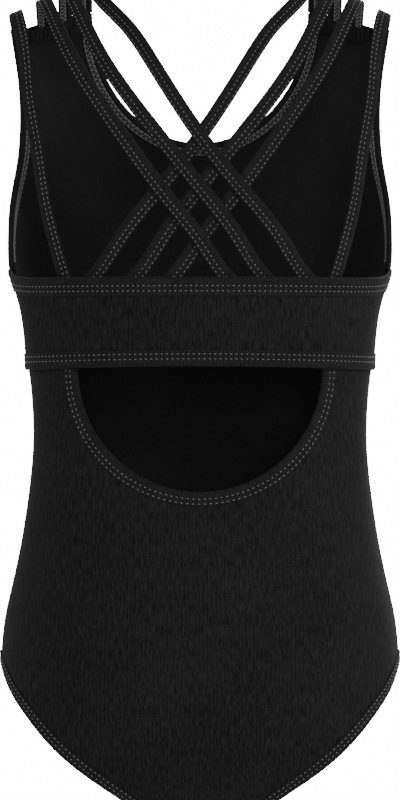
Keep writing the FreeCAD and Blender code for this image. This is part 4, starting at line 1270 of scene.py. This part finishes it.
PICTURE_CENTRE_Z = -0.261
PICTURE_HEIGHT = 0.496
CAMERA_DISTANCE = 6.0


def make_camera():
    data = bpy.data.cameras.new("Camera")
    data.sensor_width = 36
    data.lens = 36 * CAMERA_DISTANCE / PICTURE_HEIGHT
    data.clip_end = 200
    camera = bpy.data.objects.new("Camera", data)
    camera.location = (0, CAMERA_DISTANCE, PICTURE_CENTRE_Z)
    camera.rotation_euler = (math.radians(90), 0, math.radians(180))
    bpy.context.scene.collection.objects.link(camera)
    bpy.context.scene.camera = camera


FLOOR_Z = -0.60
FLOOR_RADIUS = 2.6
FLOOR_GLOW = 2.2


def make_floor():
    """A pale matt floor whose rim fades into the light beyond it."""
    mesh = bpy.data.meshes.new("Floor")
    rings, spokes = 12, 96
    radius = np.linspace(0.02, FLOOR_RADIUS, rings)[:, None]
    angle = np.linspace(0, 2 * math.pi, spokes, endpoint=False)[None]
    points = np.stack((radius * np.cos(angle), radius * np.sin(angle), np.full((rings, spokes), FLOOR_Z)), axis=-1)
    _, faces, _ = grid_patch(points, np.zeros(spokes + 1), np.zeros(rings), wrap_ring=True)
    mesh.from_pydata(points.reshape(-1, 3).tolist(), [], faces.tolist() + [list(range(spokes))[::-1]])
    mesh.materials.append(floor_material())
    floor = bpy.data.objects.new("Floor", mesh)
    bpy.context.scene.collection.objects.link(floor)


def floor_material():
    material = bpy.data.materials.new("Pale floor")
    material.use_nodes = True
    tree = material.node_tree
    shader = tree.nodes["Principled BSDF"]
    place = tree.nodes.new("ShaderNodeTexCoord")
    noise = tree.nodes.new("ShaderNodeTexNoise")
    noise.inputs["Scale"].default_value = 9
    tree.links.new(place.outputs["Object"], noise.inputs["Vector"])
    ramp = tree.nodes.new("ShaderNodeValToRGB")
    ramp.color_ramp.elements[0].color = (0.80, 0.80, 0.80, 1)
    ramp.color_ramp.elements[1].color = (0.86, 0.86, 0.86, 1)
    tree.links.new(noise.outputs["Fac"], ramp.inputs["Fac"])
    tree.links.new(ramp.outputs["Color"], shader.inputs["Base Color"])
    shader.inputs["Roughness"].default_value = 0.9
    shader.inputs["Specular IOR Level"].default_value = 0.1
    shader.inputs["Emission Color"].default_value = (1, 1, 1, 1)
    rays = tree.nodes.new("ShaderNodeLightPath")
    glow = maths(tree, "MULTIPLY", rays.outputs["Is Camera Ray"], FLOOR_GLOW)
    tree.links.new(glow, shader.inputs["Emission Strength"])
    distance = tree.nodes.new("ShaderNodeVectorMath")
    distance.operation = "LENGTH"
    flat = tree.nodes.new("ShaderNodeVectorMath")
    flat.operation = "MULTIPLY"
    flat.inputs[1].default_value = (1, 1, 0)
    tree.links.new(place.outputs["Object"], flat.inputs[0])
    tree.links.new(flat.outputs["Vector"], distance.inputs[0])
    fade = tree.nodes.new("ShaderNodeMapRange")
    fade.interpolation_type = "SMOOTHSTEP"
    for label, value in (("From Min", 0.5), ("From Max", 2.5), ("To Min", 1.0), ("To Max", 0.0)):
        fade.inputs[label].default_value = value
    tree.links.new(distance.outputs["Value"], fade.inputs["Value"])
    tree.links.new(fade.outputs["Result"], shader.inputs["Alpha"])
    return material


def area_light(name, place, side, power):
    data = bpy.data.lights.new(name, "AREA")
    data.shape = "DISK"
    data.size = side
    data.energy = power
    light = bpy.data.objects.new(name, data)
    light.location = place
    light.rotation_euler = (Vector(LIT_POINT) - Vector(place)).to_track_quat("-Z", "Y").to_euler()
    bpy.context.scene.collection.objects.link(light)


SOFT_STRENGTH, BACKDROP_STRENGTH = 0.24, 16.0
LIT_POINT = (0, 0, -0.25)

# name, place, side of the lamp in metres, power in watts
LAMPS = (
    ("Key", (-1.8, 2.8, 0.9), 1.3, 22),
    ("Fill", (2.4, 2.8, 0.3), 1.8, 3),
    ("Middle", (-0.2, 3.6, 0.1), 1.0, 19),
    ("Edge", (-2.6, -0.6, 0.2), 0.8, 12),
    ("Far edge", (2.6, -0.9, 0.2), 0.8, 7),
    ("Front", (-1.2, -2.8, 1.2), 1.6, 22),
)


def make_world():
    """Soft white light all round, and a brighter white where the camera sees past the object."""
    world = bpy.data.worlds.new("Studio")
    bpy.context.scene.world = world
    world.use_nodes = True
    tree = world.node_tree
    soft = tree.nodes["Background"]
    backdrop = tree.nodes.new("ShaderNodeBackground")
    for background, strength in ((soft, SOFT_STRENGTH), (backdrop, BACKDROP_STRENGTH)):
        background.inputs["Color"].default_value = (1, 1, 1, 1)
        background.inputs["Strength"].default_value = strength
    seen = tree.nodes.new("ShaderNodeLightPath")
    mix = tree.nodes.new("ShaderNodeMixShader")
    tree.links.new(seen.outputs["Is Camera Ray"], mix.inputs["Fac"])
    tree.links.new(soft.outputs[0], mix.inputs[1])
    tree.links.new(backdrop.outputs[0], mix.inputs[2])
    tree.links.new(mix.outputs[0], tree.nodes["World Output"].inputs["Surface"])


def make_light():
    make_world()
    for lamp in LAMPS:
        area_light(*lamp)


make_camera()
make_light()
make_floor()
make_panels()
make_band()
make_facings()
make_gusset()
make_bound_edges()
make_straps()
make_seams()
make_tacks()
make_label()
